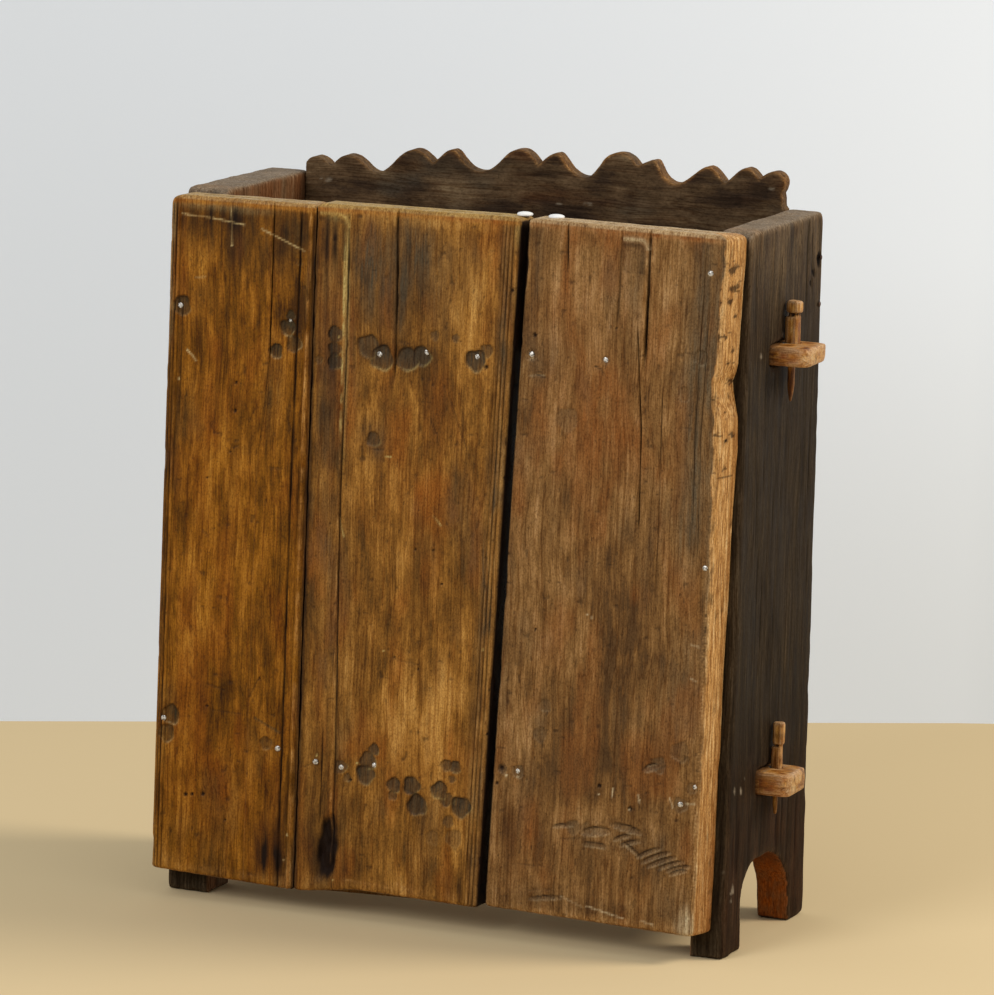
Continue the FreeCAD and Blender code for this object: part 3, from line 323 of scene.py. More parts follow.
# Front boards

plank = {
    "thick": 38.0, "leanRun": 16.6, "leanRise": 820.0, "rear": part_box("right_side_panel")[0].y / mm,
    "rearArris": 1.6, "headRound": 5.5, "roundSteps": 6, "capRows": 7, "capMiddle": 1.0, "flatFrom": 6.0,
    "columnStep": 1.5, "sideStep": 6.0, "rawStep": 2.4, "backStep": 14.0, "rowStep": 1.8,
    "grooveColumns": (-1.2, -0.55, 0, 0.55, 1.2), "stripColumns": (-0.8, 0.8),
    "waves": ((0.55, (70, 70, 260), 0, 2), (0.16, (11, 11, 120), 1, 2), (0.05, (3.4, 3.4, 70), 2, 1)),
    "clouds": (  # of wax, wear and soot: large, middling and small
        ("tone", "all", 0, 0.32, (34, 34, 120), 13, 2), ("tone", "all", 0, 0.18, (12, 12, 34), 15, 3),
        ("warm", "all", 0, 0.50, (24, 24, 70), 16, 3, 0.0, 1.0),
        ("grey", "all", 0, 0.30, (28, 28, 70), 17, 3, 0.15, 1.2),
        ("dirt", "all", 0, 0.20, (22, 22, 110), 12, 3, 0.35, 1.2),
        ("dirt", "all", 0, 0.16, (6, 6, 11), 18, 3, 0.35, 1.1),
    ),
    # rows for varied: middle, share of noise, its cell, step of the seed and octaves
    "streaky": (0.85, 0.45, (5, 5, 60), 3, 2), "blotch": (0, 1, (16, 16, 30), 4, 2),
    "broken": (0.75, 0.9, (60, 60, 13), 14, 3), "specks": (0, 1, (4.5, 4.5, 6.5), 10, 1),
    "grooveWander": (0, 0.35, (400, 400, 17), 19, 2), "grooveUneven": (1, 0.30, (400, 400, 26), 5, 2),
    "hollowWander": (1, 0.30, (14, 14, 22), 6, 2), "hollowDepth": (0.75, 0.35, (5, 5, 18), 7, 2),
    "hollowDirt": (0.70, 0.5, (6, 6, 20), 8, 1), "ragged": (0.8, 0.35, (7, 7, 7), 9, 1),
    "sawn": (0, 0.5, (9, 9, 60), 20, 2), "torn": (0, 1, (12, 12, 34), 21, 3),
    "tornFine": (0, 0.4, (5, 5, 90), -15, 1), "back": (0, 0.3, (12, 12, 90), 23, 2),
    "stainOverSides": (0.35, 0.6, (8, 8, 22), 28, 3), "knocks": (-0.25, 1, (30, 30, 22), 24, 2),
    "headRough": (0, 0.5, (6, 6, 6), 25, 2), "rubUneven": (1, 0.5, (30, 30, 30), 26, 2),
    "speckled": (0.8, 0.3, (5, 5, 5), 27, 2),
    # where wear fades in or out, in millimetres or in shares of a dent's radius
    "dentFloor": (0.84, 1.0), "dentRim": (0.93, 0.10), "dentFull": 1.7, "dentTurn": 2.1,
    "knock": 2.2, "sawnDepth": 0.35, "headSunk": 0.4, "seam": (0.5, 5.0), "rub": (7.0, 2.8),
    "arrisTop": (3.0, 7.0), "lid": (1.5, 5.0), "speckEnds": (0.72, 0.92), "speckDepth": 0.30,
}
lean = math.atan2(plank["leanRun"], plank["leanRise"])

# Paths run up the board as (height, across), and other marks begin with across and height.
# Corners are radii at the head's left and right, then the sole's left and right.
# Grooves: path, half width, depth, foot and head of the run, darkness.
# Beads: inner and outer path, rise, zone and amount, foot and head of the run.
# Strips: inner and outer path, foot and head, depth, corner. Hollows: half across, half up, depth.
# Dents: radius, depth. Holes and flecks: radius. Cuts: to where, half width, depth, zone, amount.
# Gouges: to where, half width, depth; first leaf shapes, then strokes like a feather's barbs.
# Stains: half across, half up, amount. Raw border: how far the bare wood comes round on to the
# front; raw knots in it: height, depth, size.

leftBoard = {
    "node": "front_board_left", "wood": "amber_pine", "slot": "waxed_board_wood", "seed": 11,
    "flare": 0.0, "corners": (12, 5, 3, 3), "arrises": (4.5, 2.0), "sides": (0.25, 0.7),
    "seams": (0.0, 0.25),
    "left": [(31, -349.4), (815, -346.2)],
    "right": [(25.8, -167.4), (816.5, -163.6)],
    "sole": [(-349.4, 31), (-167.4, 25.8)],
    "head": [(-346.2, 815), (-163.6, 816.5)],
    "grooves": [
        ([(31, -345.4), (815, -341.8)], 0.9, 1.2, (0, 900), 0.75),
        ([(31, -341.0), (815, -337.4)], 1.0, 1.4, (0, 900), 0.85),
        ([(31, -336.4), (815, -332.6)], 0.9, 0.9, (0, 900), 0.45),
        ([(31, -331.0), (815, -327.5)], 0.8, 0.6, (560, 690), 0.7),
        ([(30, -231), (508, -229), (635, -217), (807, -216)], 0.8, 2.6, (640, 900), 0.9),
        ([(30, -231), (508, -229), (635, -217), (807, -216)], 0.7, 0.5, (520, 640), 0.4),
        ([(30, -188), (508, -185.5), (815, -182)], 1.3, 2.2, (0, 900), 0.9),
        ([(30, -178.5), (815, -174.5)], 0.8, 0.7, (0, 640), 0.4),
        ([(30, -169.6), (816, -165.6)], 2.4, 1.4, (0, 900), 0.5),
    ],
    "beads": [
        ([(30, -176.5), (815, -173.2)], [(30, -170.4), (815, -167.0)], 2.0, "bare", 0.66, (-90, 806)),
        ([(31, -341.6), (815, -337.8)], [(31, -336.6), (815, -332.8)], 0.5, "bare", 0.12, (-90, 900)),
    ],
    "dents": [
        (-329, 688, 12, 1.8), (-195, 674, 10, 1.7), (-187, 656, 10, 1.4), (-209, 646, 9, 1.6),
        (-192, 688, 6, 1.3), (-329, 214, 12, 1.5), (-334, 192, 11, 1.3), (-207, 194, 8, 1.2),
        (-183, 750, 5, 0.8),
    ],
    "holes": [
        (-307, 123, 2.4), (-299, 124, 2.0), (-285, 126, 2.4), (-258, 606, 1.8), (-258, 574, 2.2),
        (-263, 526, 1.6), (-291, 493, 1.2), (-218, 268, 1.4), (-283, 229, 1.8), (-256, 99, 1.4),
    ],
    "cuts": [
        (-332, 793, -296, 791, 1.1, 0.3, "pale", 0.75), (-293, 791, -253, 786, 1.2, 0.4, "pale", 0.95),
        (-231, 783, -177, 762, 1.2, 0.4, "pale", 0.9), (-270, 806, -268, 762, 1.2, 0.2, "pale", 0.5),
        (-321, 638, -313, 631, 1.1, 0.4, "pale", 1.0), (-313, 631, -309, 626, 1.0, 0.4, "pale", 0.9),
        (-223, 222, -191, 208, 2.2, 0.5, "grey", 0.8), (-220, 266, -230, 245, 1.2, 0.6, "dirt", 0.7),
        (-312, 722, -300, 723, 1.5, 0.2, "pale", 0.35), (-295, 433, -287, 426, 1.8, 0.7, "dirt", 0.6),
        (-262, 530, -252, 534, 1.2, 0.5, "dirt", 0.6), (-213, 512, -196, 512, 1.0, 0.4, "dirt", 0.6),
        (-283, 255, -262, 250, 1.2, 0.4, "dirt", 0.5), (-288, 226, -240, 225, 1.0, 0.4, "dirt", 0.55),
    ],
    "stains": {
        "tone": [
            (-268, 776, 42, 26, -0.75), (-193, 690, 16, 26, -0.8), (-185, 640, 10, 120, -0.45),
            (-268, 560, 26, 150, 0.1), (-300, 640, 24, 50, -0.35), (-262, 420, 50, 130, 0.32),
            (-205, 480, 14, 60, -0.55), (-258, 240, 80, 60, -0.25), (-220, 330, 22, 70, -0.3),
        ],
        "dirt": [
            (-262, 797, 66, 16, 0.5), (-300, 785, 36, 14, 0.5), (-190, 790, 24, 34, 0.45),
            (-200, 758, 20, 26, 0.4), (-212, 770, 6, 26, 0.3), (-197, 705, 12, 40, 0.22),
            (-188, 80, 26, 62, 0.62), (-205, 66, 20, 34, 0.35), (-322, 780, 12, 20, 0.3),
            (-338, 640, 8, 150, 0.3), (-343, 300, 7, 300, 0.42), (-330, 520, 6, 60, 0.25),
        ],
        "bare": [
            (-255, 810, 90, 7, 0.3), (-256, 36, 90, 6, 0.25), (-174, 50, 5, 26, 0.7),
            (-178, 34, 9, 9, 0.8), (-335, 45, 14, 10, 0.35),
        ],
        "warm": [(-270, 140, 60, 60, 0.3), (-300, 500, 14, 90, 0.25), (-263, 592, 10, 34, 0.35)],
        "grey": [
            (-255, 770, 80, 40, 0.25), (-191, 782, 13, 22, 0.7), (-300, 802, 44, 7, 0.45),
            (-210, 600, 12, 60, 0.35),
        ],
        "pale": [
            (-300, 806, 34, 6, 0.35), (-250, 803, 30, 5, 0.3), (-345, 700, 5, 60, 0.45),
            (-344, 790, 5, 26, 0.5),
        ],
    },
    "flecks": [(-339, 209, 2.0), (-268, 762, 1.4), (-330, 604, 1.0), (-177, 90, 1.8), (-180, 60, 1.5)],
}
middleBoard = {
    "node": "front_board_middle", "wood": "rubbed_pine", "slot": "waxed_board_wood", "seed": 23,
    "flare": 0.0, "corners": (5, 7, 3, 3), "arrises": (2.0, 4.0), "sides": (0.7, 0.95),
    "seams": (0.35, 0.7),
    "left": [(25.8, -166.8), (818.5, -163.0)],
    "right": [(32.4, 63.0), (820.4, 87.4)],
    "sole": [(-166.8, 25.8), (-90.0, 35.0), (63.0, 32.4)],
    "head": [(-163.0, 818.5), (87.4, 820.4)],
    "grooves": [
        ([(26, -165.0), (818, -161.2)], 2.0, 1.2, (0, 900), 0.42),
        ([(26, -119.8), (180, -119.6), (480, -124.5), (640, -121.5),
         (811, -123.2)], 1.2, 2.4, (0, 806), 0.85),
        ([(26, -137), (211, -137), (480, -143), (811, -147)], 0.8, 1.2, (112, 216), 0.8),
        ([(30, -58), (637, -61), (700, -61.5), (822, -64)], 1.3, 4.0, (634, 900), 0.95),
        ([(30, 42.5), (820, 65.0)], 0.9, 0.6, (0, 900), 0.2),
        ([(30, 46.0), (820, 69.0)], 0.9, 1.1, (0, 900), 0.4),
        ([(30, 50.6), (820, 73.8)], 0.9, 1.1, (0, 900), 0.48),
        ([(30, 55.2), (820, 78.6)], 0.9, 1.1, (0, 900), 0.52),
    ],
    "beads": [
        ([(30, -125.5), (480, -128.0), (811, -129.6)], [(30, -121), (480, -125.4),
         (811, -124.4)], 0.9, "pale", 0.9, (560, 806)),
        ([(30, -125.5), (480, -128.0), (811, -129.6)], [(30, -121), (480, -125.4),
         (811, -124.4)], 0.0, "bare", 0.45, (60, 560)),
        ([(30, 46.5), (820, 69.5)], [(30, 50.2), (820, 73.4)], 0.4, "bare", 0.3, (-90, 900)),
        ([(30, 51.0), (820, 74.2)], [(30, 54.8), (820, 78.2)], 0.4, "bare", 0.26, (-90, 900)),
        ([(30, 55.6), (820, 79.0)], [(30, 61.0), (820, 84.6)], 0.4, "bare", 0.22, (-90, 900)),
    ],
    "strips": [
        ([(26, -163.0), (820, -159.5)], [(26, -121.0), (640, -123), (806, -124.6)], (0, 806), 2.0, 13),
    ],
    "hollows": [(-126, 78, 13, 42, 8.0)],
    "dents": [
        (-136.5, 671, 10, 1.7), (-137, 654, 9, 1.6), (-136, 640, 10, 1.8), (-156, 640.5, 5, 1.2),
        (-95, 661, 14, 1.5), (-78, 649, 15, 1.8), (-47, 650, 14, 1.6), (-29, 655, 12, 1.5),
        (37, 656, 13, 1.9), (50, 668, 8, 1.2), (-85, 556, 9, 1.4), (-13.5, 680, 6, 1.0),
        (12, 679, 5, 0.8), (-72, 201, 7, 1.5), (-79, 187, 11, 1.5), (-81.5, 171, 12, 2.0),
        (-46, 163, 9, 1.8), (-47, 151, 6, 1.3), (-23.5, 165, 11, 1.9), (-16, 143, 13, 2.0),
        (10.5, 163, 11, 1.8), (18, 193, 7, 1.5), (29, 192, 7.5, 1.6), (26, 178, 4.5, 1.2),
        (20, 154, 9, 1.4), (38, 147, 13, 1.7), (23, 129, 7, 0.9), (-112, 177, 8, 1.1),
        (-104, 165, 5, 1.0), (4, 108, 9, 0.7), (30, 110, 11, 0.7),
    ],
    "holes": [
        (50, 650, 2.6), (-100, 163, 2.0), (78, 738, 2.2), (67, 234, 1.8), (-50, 311, 1.2), (-7, 437, 1.6),
        (-29, 436, 1.8), (-20, 300, 1.2), (5, 400, 1.4),
    ],
    "cuts": [
        (-86, 545, -72, 546, 1.0, 0.4, "dirt", 0.5), (-69, 538, -63, 538, 1.6, 0.3, "pale", 0.9),
        (8, 609, 33, 548, 1.2, 0.5, "dirt", 0.5), (-58, 309, -20, 305, 1.2, 0.4, "dirt", 0.4),
        (-118, 446, -113, 420, 2.0, 0.8, "dirt", 0.6), (-124, 462, -118, 442, 1.4, 0.4, "pale", 0.7),
        (-8, 476, 2, 466, 1.3, 0.4, "pale", 0.6), (-16, 588, -8, 570, 1.2, 0.5, "dirt", 0.6),
        (-92, 118, -92, 60, 0.8, 0.2, "dirt", 0.25), (-40, 50, 0, 36, 1.6, 0.2, "bare", 0.9),
        (-105, 47, -48, 44, 1.5, 0.2, "bare", 0.7), (-146, 178, -158, 172, 1.6, 0.5, "dirt", 0.5),
    ],
    "stains": {
        "tone": [
            (-50, 806, 120, 6, 0.5), (38, 740, 20, 60, 0.45), (40, 700, 26, 34, 0.35),
            (-20, 700, 18, 22, -0.2), (-60, 655, 60, 12, -0.45), (-15, 620, 34, 34, -0.45),
            (-40, 600, 14, 60, 0.15), (-75, 510, 26, 44, -0.25), (-85, 430, 30, 60, -0.35),
            (-128, 560, 16, 90, -0.5), (-40, 330, 36, 40, -0.4), (10, 250, 40, 70, 0.4),
            (-20, 225, 34, 60, 0.3), (40, 200, 26, 70, 0.25), (-78, 196, 30, 30, -0.3),
            (30, 60, 30, 24, -0.45), (-60, 90, 50, 40, -0.1), (76, 790, 12, 30, 0.5),
        ],
        "dirt": [
            (-145, 770, 18, 50, 0.62), (-145, 640, 14, 110, 0.42), (-20, 430, 12, 46, 0.42),
            (-6, 437, 12, 16, 0.25), (-95, 300, 14, 60, 0.22), (-126, 84, 24, 52, 0.6),
            (-110, 130, 16, 30, 0.35), (-110, 60, 22, 22, 0.35), (-152, 120, 12, 100, 0.32),
            (-112, 232, 14, 22, 0.35), (40, 52, 22, 16, 0.3), (-163, 668, 5, 40, 0.55),
            (-163, 500, 4, 90, 0.3), (-163, 240, 4, 120, 0.35),
        ],
        "bare": [(-30, 42, 80, 7, 0.28)],
        "warm": [
            (-5, 600, 16, 44, 0.4), (-40, 500, 40, 40, 0.25), (0, 190, 60, 40, 0.15),
            (-70, 640, 10, 40, 0.35),
        ],
        "grey": [
            # the grey patches high on the board give its upper part a greyish cast: stain, and partly a
            # painted sheen
            (-92, 752, 30, 54, 0.8), (-42, 772, 20, 46, 0.55), (-8, 740, 22, 60, 0.4),
            (-60, 708, 14, 40, 0.35), (-146, 640, 14, 190, 0.45), (-112, 640, 12, 50, 0.3),
            (-85, 556, 18, 22, 0.45), (22, 500, 14, 50, 0.35), (40, 455, 12, 46, 0.4),
            (-128, 360, 20, 120, 0.38), (72, 650, 10, 300, 0.55), (56, 180, 10, 300, 0.5),
            (64, 400, 9, 200, 0.3),
        ],
        "pale": [
            (84, 800, 5, 18, 0.6), (-124.5, 760, 3, 70, 0.75), (-121.5, 640, 3, 90, 0.45),
            (-137, 804, 12, 5, 0.5),
        ],
    },
    "flecks": [
        (-133, 668, 1.6), (-144, 186, 1.6), (-64, 316, 1.4), (-92, 183, 1.2), (58, 330, 1.2),
        (-118, 44, 1.5),
    ],
}
rightBoard = {
    "node": "front_board_right", "wood": "worn_pine", "slot": "worn_board_wood", "seed": 37, "flare": 6.5,
    "corners": (4, 9, 3, 2), "arrises": (4.0, 4.5), "sides": (0.95, 0.0), "seams": (0.5, 0.0),
    "left": [(36, 70.4), (821, 94.8)],
    "right": [
        (30.7, 331.0), (300, 334.4), (480, 337.0), (544, 338.7), (583, 339.8), (616, 339.0), (626, 336.6),
        (634, 334.4), (646, 332.2), (656, 331.4), (661, 333.0), (666, 335.2), (676, 337.4), (746, 338.4),
        (800, 340.2), (819, 340.8),
    ],
    "sole": [(70.4, 36), (330.2, 30.7)],
    "head": [(94.8, 821), (339.4, 819)],
    "grooves": [
        ([(36, 124), (776, 144), (821, 142.5)], 1.0, 2.4, (772, 900), 0.95),
        ([(36, 196), (717, 206), (817, 208)], 1.2, 1.4, (716, 900), 0.55),
        ([(36, 222), (496, 240.5), (597, 239), (701, 230.5), (821, 226)], 0.8, 2.6, (494, 704), 0.72),
        ([(36, 238), (530, 246), (675, 240.2), (817, 241.2)], 1.5, 4.5, (676, 900), 0.97),
        ([(36, 262), (500, 264), (700, 262), (821, 266)], 0.6, 0.6, (420, 640), 0.5),
        ([(36, 300), (400, 306), (600, 303), (821, 308)], 0.6, 0.6, (500, 815), 0.6),
        ([(36, 307), (400, 312), (600, 310), (821, 316)], 0.6, 0.5, (460, 740), 0.5),
    ],
    "beads": [
        ([(36, 228), (675, 234.5), (817, 235)], [(36, 236), (675, 239),
         (817, 240)], 0.8, "bare", 0.25, (640, 810)),
    ],
    "strips": [
        ([(36, 198), (717, 207), (817, 209)], [(36, 228), (675, 236.5), (817, 237.5)], (728, 805),
         1.6, 9),
    ],
    "dents": [
        (104, 668, 7, 0.9), (194, 670, 5, 0.6), (131, 241, 9, 0.8), (136, 275, 8, 0.7),
        (288, 640, 9, 0.6), (106, 196, 8, 0.9), (87, 197, 6, 1.0), (275, 222, 10, 0.7),
        (303, 180, 9, 0.8), (316, 200, 7, 0.6), (300, 240, 12, 0.6), (306, 682, 9, 0.8),
        (150, 600, 14, 0.5), (176, 140, 9, 0.9), (192, 139, 9, 0.7),
    ],
    "holes": [
        (107.5, 691, 2.6), (328, 664, 2.6), (86, 198, 2.8), (205, 191, 2.6), (243, 169, 2.8),
        (81, 180, 1.8), (121, 360, 1.6), (205, 707, 1.2),
    ],
    "cuts": [
        (103, 645, 121, 647, 1.0, 0.5, "pale", 0.4), (112, 646, 122, 645, 1.3, 0.7, "dirt", 0.8),
        (181, 662, 188, 660, 1.3, 0.5, "dirt", 0.7), (188, 660, 194, 652, 1.3, 0.5, "dirt", 0.6),
        (225, 677, 240, 679, 1.2, 0.4, "dirt", 0.5), (279, 684, 297, 687, 1.2, 0.5, "dirt", 0.75),
        (286, 603, 298, 602, 1.2, 0.5, "dirt", 0.65), (286, 608, 286, 600, 1.0, 0.4, "dirt", 0.5),
        (222, 190, 221, 180, 1.4, 0.4, "pale", 0.75), (252, 186, 254, 176, 1.3, 0.3, "pale", 0.5),
        (283, 222, 270, 215, 1.6, 0.5, "dirt", 0.6), (262, 219, 276, 224, 1.0, 0.3, "pale", 0.4),
        (290, 186, 294, 176, 1.2, 0.3, "pale", 0.6), (310, 182, 320, 183, 2.0, 0.4, "pale", 0.85),
        (308, 362, 318, 360, 1.4, 0.4, "pale", 0.6), (309, 324, 316, 321, 1.6, 0.4, "pale", 0.6),
        (195, 52, 240, 43, 1.5, 0.2, "pale", 0.85), (262, 43, 276, 40, 1.5, 0.2, "pale", 0.7),
        (163, 60, 190, 50, 1.2, 0.3, "pale", 0.4), (124, 62, 150, 66, 1.4, 0.5, "dirt", 0.5),
        (104, 90, 140, 92, 1.0, 0.4, "dirt", 0.35), (160, 125, 185, 129, 1.3, 0.4, "dirt", 0.4),
        (240, 526, 246, 527, 1.0, 0.4, "dirt", 0.5), (110, 300, 118, 250, 1.4, 0.4, "dirt", 0.35),
    ],
    "gouges": [
        (185, 135, 221, 141, 5.5, 1.5), (220, 149, 260, 142, 4.2, 1.0), (187, 123, 218, 122, 3.0, 0.4),
        (224, 131, 246, 139, 2.2, 0.6), (231, 125, 258, 134, 2.2, 0.6), (232, 132, 260, 114, 1.6, 0.5),
        (252, 114, 283, 129, 2.4, 0.9), (258, 109, 295, 126, 2.6, 1.0), (265, 105, 302, 121, 2.6, 1.1),
        (277, 104, 312, 117, 2.4, 1.0), (288, 103, 319, 112, 2.2, 0.9), (292, 99, 315, 107, 2.0, 0.8),
        (124, 52, 166, 58, 2.4, 0.7), (257, 214, 277, 222, 4.0, 1.1), (150, 138, 176, 142, 1.8, 0.5),
    ],
    "rawBorder": [
        (30, 0.0), (229, 0.3), (409, 1.8), (484, 4.4), (540, 7.0), (597, 9.1), (630, 7.5), (653, 5.9),
        (701, 6.3), (746, 6.6), (785, 4.0), (819, 0.5),
    ],
    "rawKnots": [
        (781, 14, 9), (760, 17, 8), (745, 12, 6), (706, 6, 5), (664, -6, 6), (690, 22, 4), (596, 24, 5),
        (655, 30, 6), (728, 24, 4), (560, 12, 4),
    ],
    "stains": {
        "tone": [
            (255, 740, 20, 70, 0.1), (190, 450, 40, 110, -0.15), (240, 300, 40, 120, -0.25),
            (130, 260, 16, 60, 0.25), (170, 330, 30, 80, 0.15), (248, 300, 12, 44, 0.45),
            (250, 430, 30, 80, -0.35), (210, 250, 60, 60, -0.35), (106, 230, 18, 50, 0.2),
            (200, 100, 110, 40, -0.3), (200, 200, 80, 40, -0.3), (270, 240, 60, 60, -0.2),
            (180, 700, 14, 60, 0.35), (165, 760, 14, 40, 0.25), (140, 450, 30, 60, 0.2),
        ],
        "dirt": [
            (222, 690, 14, 60, 0.18), (112, 800, 16, 16, 0.3), (200, 50, 100, 10, 0.25),
            (130, 60, 40, 12, 0.2), (290, 150, 26, 50, 0.18),
        ],
        "bare": [(180, 38, 90, 5, 0.35), (97, 640, 5, 30, 0.4)],
        "warm": [
            (180, 805, 60, 10, 0.4), (150, 700, 50, 60, 0.25), (180, 600, 70, 60, 0.28),
            (110, 110, 30, 50, 0.25),
        ],
        "grey": [
            # the grey patches high on the board give its upper part a greyish cast: stain, and partly a
            # painted sheen
            (304, 740, 20, 90, 0.62), (305, 620, 16, 110, 0.55), (300, 520, 14, 80, 0.35),
            (222, 770, 14, 44, 0.45), (118, 670, 24, 30, 0.4), (131, 262, 10, 26, 0.4),
            (300, 300, 30, 60, 0.3), (230, 134, 70, 18, 0.22),
        ],
        "pale": [(318, 42, 12, 14, 0.9), (314, 56, 7, 10, 0.5)],
    },
    "flecks": [
        (313, 776, 2.6), (321, 449, 2.4), (205, 181, 1.4), (92, 190, 2.0), (106, 190, 1.8),
        (183, 383, 1.2), (188, 380, 1.2), (104.9, 664, 1.6), (318, 52, 1.8), (254, 180, 1.4),
        (242, 168, 1.2),
    ],
}


def pathAt(path, place):
    return np.interp(place, *zip(*path))


def segmentDistance(across, height, x1, z1, x2, z2):
    run = (x2 - x1) ** 2 + (z2 - z1) ** 2
    share = np.clip(((across - x1) * (x2 - x1) + (height - z1) * (z2 - z1)) / run, 0, 1)
    return np.hypot(across - x1 - share * (x2 - x1), height - z1 - share * (z2 - z1))


def boardMarks(facts, x, h, front):
    # how deep each point sinks, and how much of each zone it takes
    seed = facts["seed"]
    flat = np.stack([x, np.zeros_like(x), h], axis=-1)
    sink = roughness(flat, seed, plank["waves"])
    zones = {name: np.zeros_like(x) for name in zoneNames}
    streaky, blotch = (varied(flat, seed, *plank[name]) for name in ("streaky", "blotch"))
    broken = np.clip(varied(flat, seed, *plank["broken"]), 0, 1.2)
    for zone, places in facts["stains"].items():
        for across, up, halfAcross, halfUp, amount in places:
            reach = ((x - across) / halfAcross) ** 2 + ((h - up) / halfUp) ** 2
            zones[zone] += amount * np.exp(-(reach ** 1.4) / 1.2) * streaky * (1 + 0.35 * blotch)
    paint(zones, flat, seed, {"all": 1.0}, plank["clouds"])
    for path, half, depth, (low, high), dark in facts["grooves"]:
        away = np.abs((x - pathAt(path, h)) / half + varied(flat, seed, *plank["grooveWander"]))
        fade = smooth(h, low - 14, low + 10) * (1 - smooth(h, high - 10, high + 14))
        uneven = varied(flat, seed, *plank["grooveUneven"])
        sink += depth * fade * uneven * np.clip(1 - away, 0, 1) ** 0.6
        most(zones, "dirt", dark * fade * uneven * np.clip(1.45 - away, 0, 1))
    # the crest of each bead takes its zone's colour: rubbed wood, and partly a painted highlight along
    # the ridge
    for inner, outer, rise, zone, amount, (low, high) in facts["beads"]:
        start, end = pathAt(inner, h), pathAt(outer, h)
        share = np.clip((x - start) / (end - start), 0, 1)
        ridge = np.sin(math.pi * share) ** 0.7 * (share > 0) * (share < 1)
        ridge *= smooth(h, low - 12, low + 12) * (1 - smooth(h, high - 12, high + 12))
        sink -= rise * ridge
        zones["dirt"] *= 1 - ridge
        most(zones, zone, amount * ridge * broken)
    for inner, outer, (low, high), depth, turn in facts.get("strips", ()):
        start, end = pathAt(inner, h), pathAt(outer, h)
        cornered = np.hypot(np.clip(x - end + turn, 0, None), np.clip(h - high + turn, 0, None))
        sunk = smooth(x - start, -0.9, 0.9) * (1 - smooth(cornered, turn - 1.2, turn + 0.8))
        sunk *= smooth(h, low - 30, low + 30) * (x < end + 1.5)
        sink += depth * sunk
        # the rounded rim round the strip's head is painted pale, partly as a highlight on the edge; just
        # inside it the strip is darkened, dirt and partly painted shade in the recess
        rim = bell(cornered, turn + 1.2, 2.6) * (h > high - turn) * (x > start)
        most(zones, "dirt", 0.62 * bell(cornered, turn - 5.0, 4.0) * (h > high - 4 * turn) * (x > start))
        zones["dirt"] *= 1 - rim
        most(zones, "pale", 0.95 * rim * np.clip(broken, 0.6, 1))
    for across, up, halfAcross, halfUp, depth in facts.get("hollows", ()):
        reach = np.hypot((x - across) / halfAcross, (h - up) / halfUp)
        reach = reach * varied(flat, seed, *plank["hollowWander"])
        bowl = 1 - smooth(reach, 0.55, 1.05)
        sink += bowl * depth * varied(flat, seed, *plank["hollowDepth"])
        zones["dirt"] += bowl * varied(flat, seed, *plank["hollowDirt"])
        zones["grey"] += 0.7 * bowl
    struck = np.zeros_like(x)
    for across, up, radius, depth in facts["dents"]:
        # hammer blows: a flat floor with a crisp edge, deeper towards one side where they landed askew;
        # the floor is darker and the rim darkened on that upper-left side as painted shade, and the
        # opposite lower-right rim is lightened as a painted highlight
        angle = np.arctan2(h - up, x - across)
        lobes = 1 + 0.08 * np.sin(3 * angle + across) + 0.05 * np.sin(5 * angle + up)
        reach = np.hypot(x - across, h - up) / radius / lobes
        bowl = 1 - smooth(reach, *plank["dentFloor"])
        askew = plank["dentTurn"] + 0.6 * math.sin(across)
        facing = 0.5 + 0.5 * np.cos(angle - askew) * np.clip(reach, 0, 1)
        strength = min(1.0, depth / plank["dentFull"])
        struck = np.maximum(struck, bowl * depth * (0.55 + 0.6 * facing))
        shade = strength * bowl * (0.72 + 0.45 * facing) * (1 + 0.25 * blotch)
        ring = bell(reach, *plank["dentRim"])
        most(zones, "grey", 0.90 * shade)
        # painted shade: a dark rim on the upper-left side, over the dirt of the floor
        most(zones, "dirt", 0.34 * shade + 0.72 * strength * ring * smooth(facing, 0.35, 0.95))
        zones["warm"] *= 1 - 0.8 * shade
        # painted highlight: a pale rim on the lower-right side, where the lip would catch the light
        lit = strength * ring * smooth(1 - facing, 0.55, 1.0)
        most(zones, "pale", 0.50 * lit * np.clip(broken, 0.3, 1))
    sink += struck
    for across, up, radius in facts["holes"]:
        reach = np.hypot(x - across, h - up) / radius
        sink += 2.2 * (1 - smooth(reach, 0.4, 1.1))
        most(zones, "dirt", 0.95 * (1 - smooth(reach, 0.7, 1.25)))
    ragged = np.clip(varied(flat, seed, *plank["ragged"]), 0, 1)
    for *ends, half, depth, zone, amount in facts["cuts"]:
        line = (1 - smooth(segmentDistance(x, h, *ends) / max(half, 1.5), 0.3, 1.0)) * ragged
        sink += depth * line
        most(zones, zone, amount * line)
        if zone == "pale":
            zones["dirt"] *= 1 - line
    for x1, z1, x2, z2, half, depth in facts.get("gouges", ()):
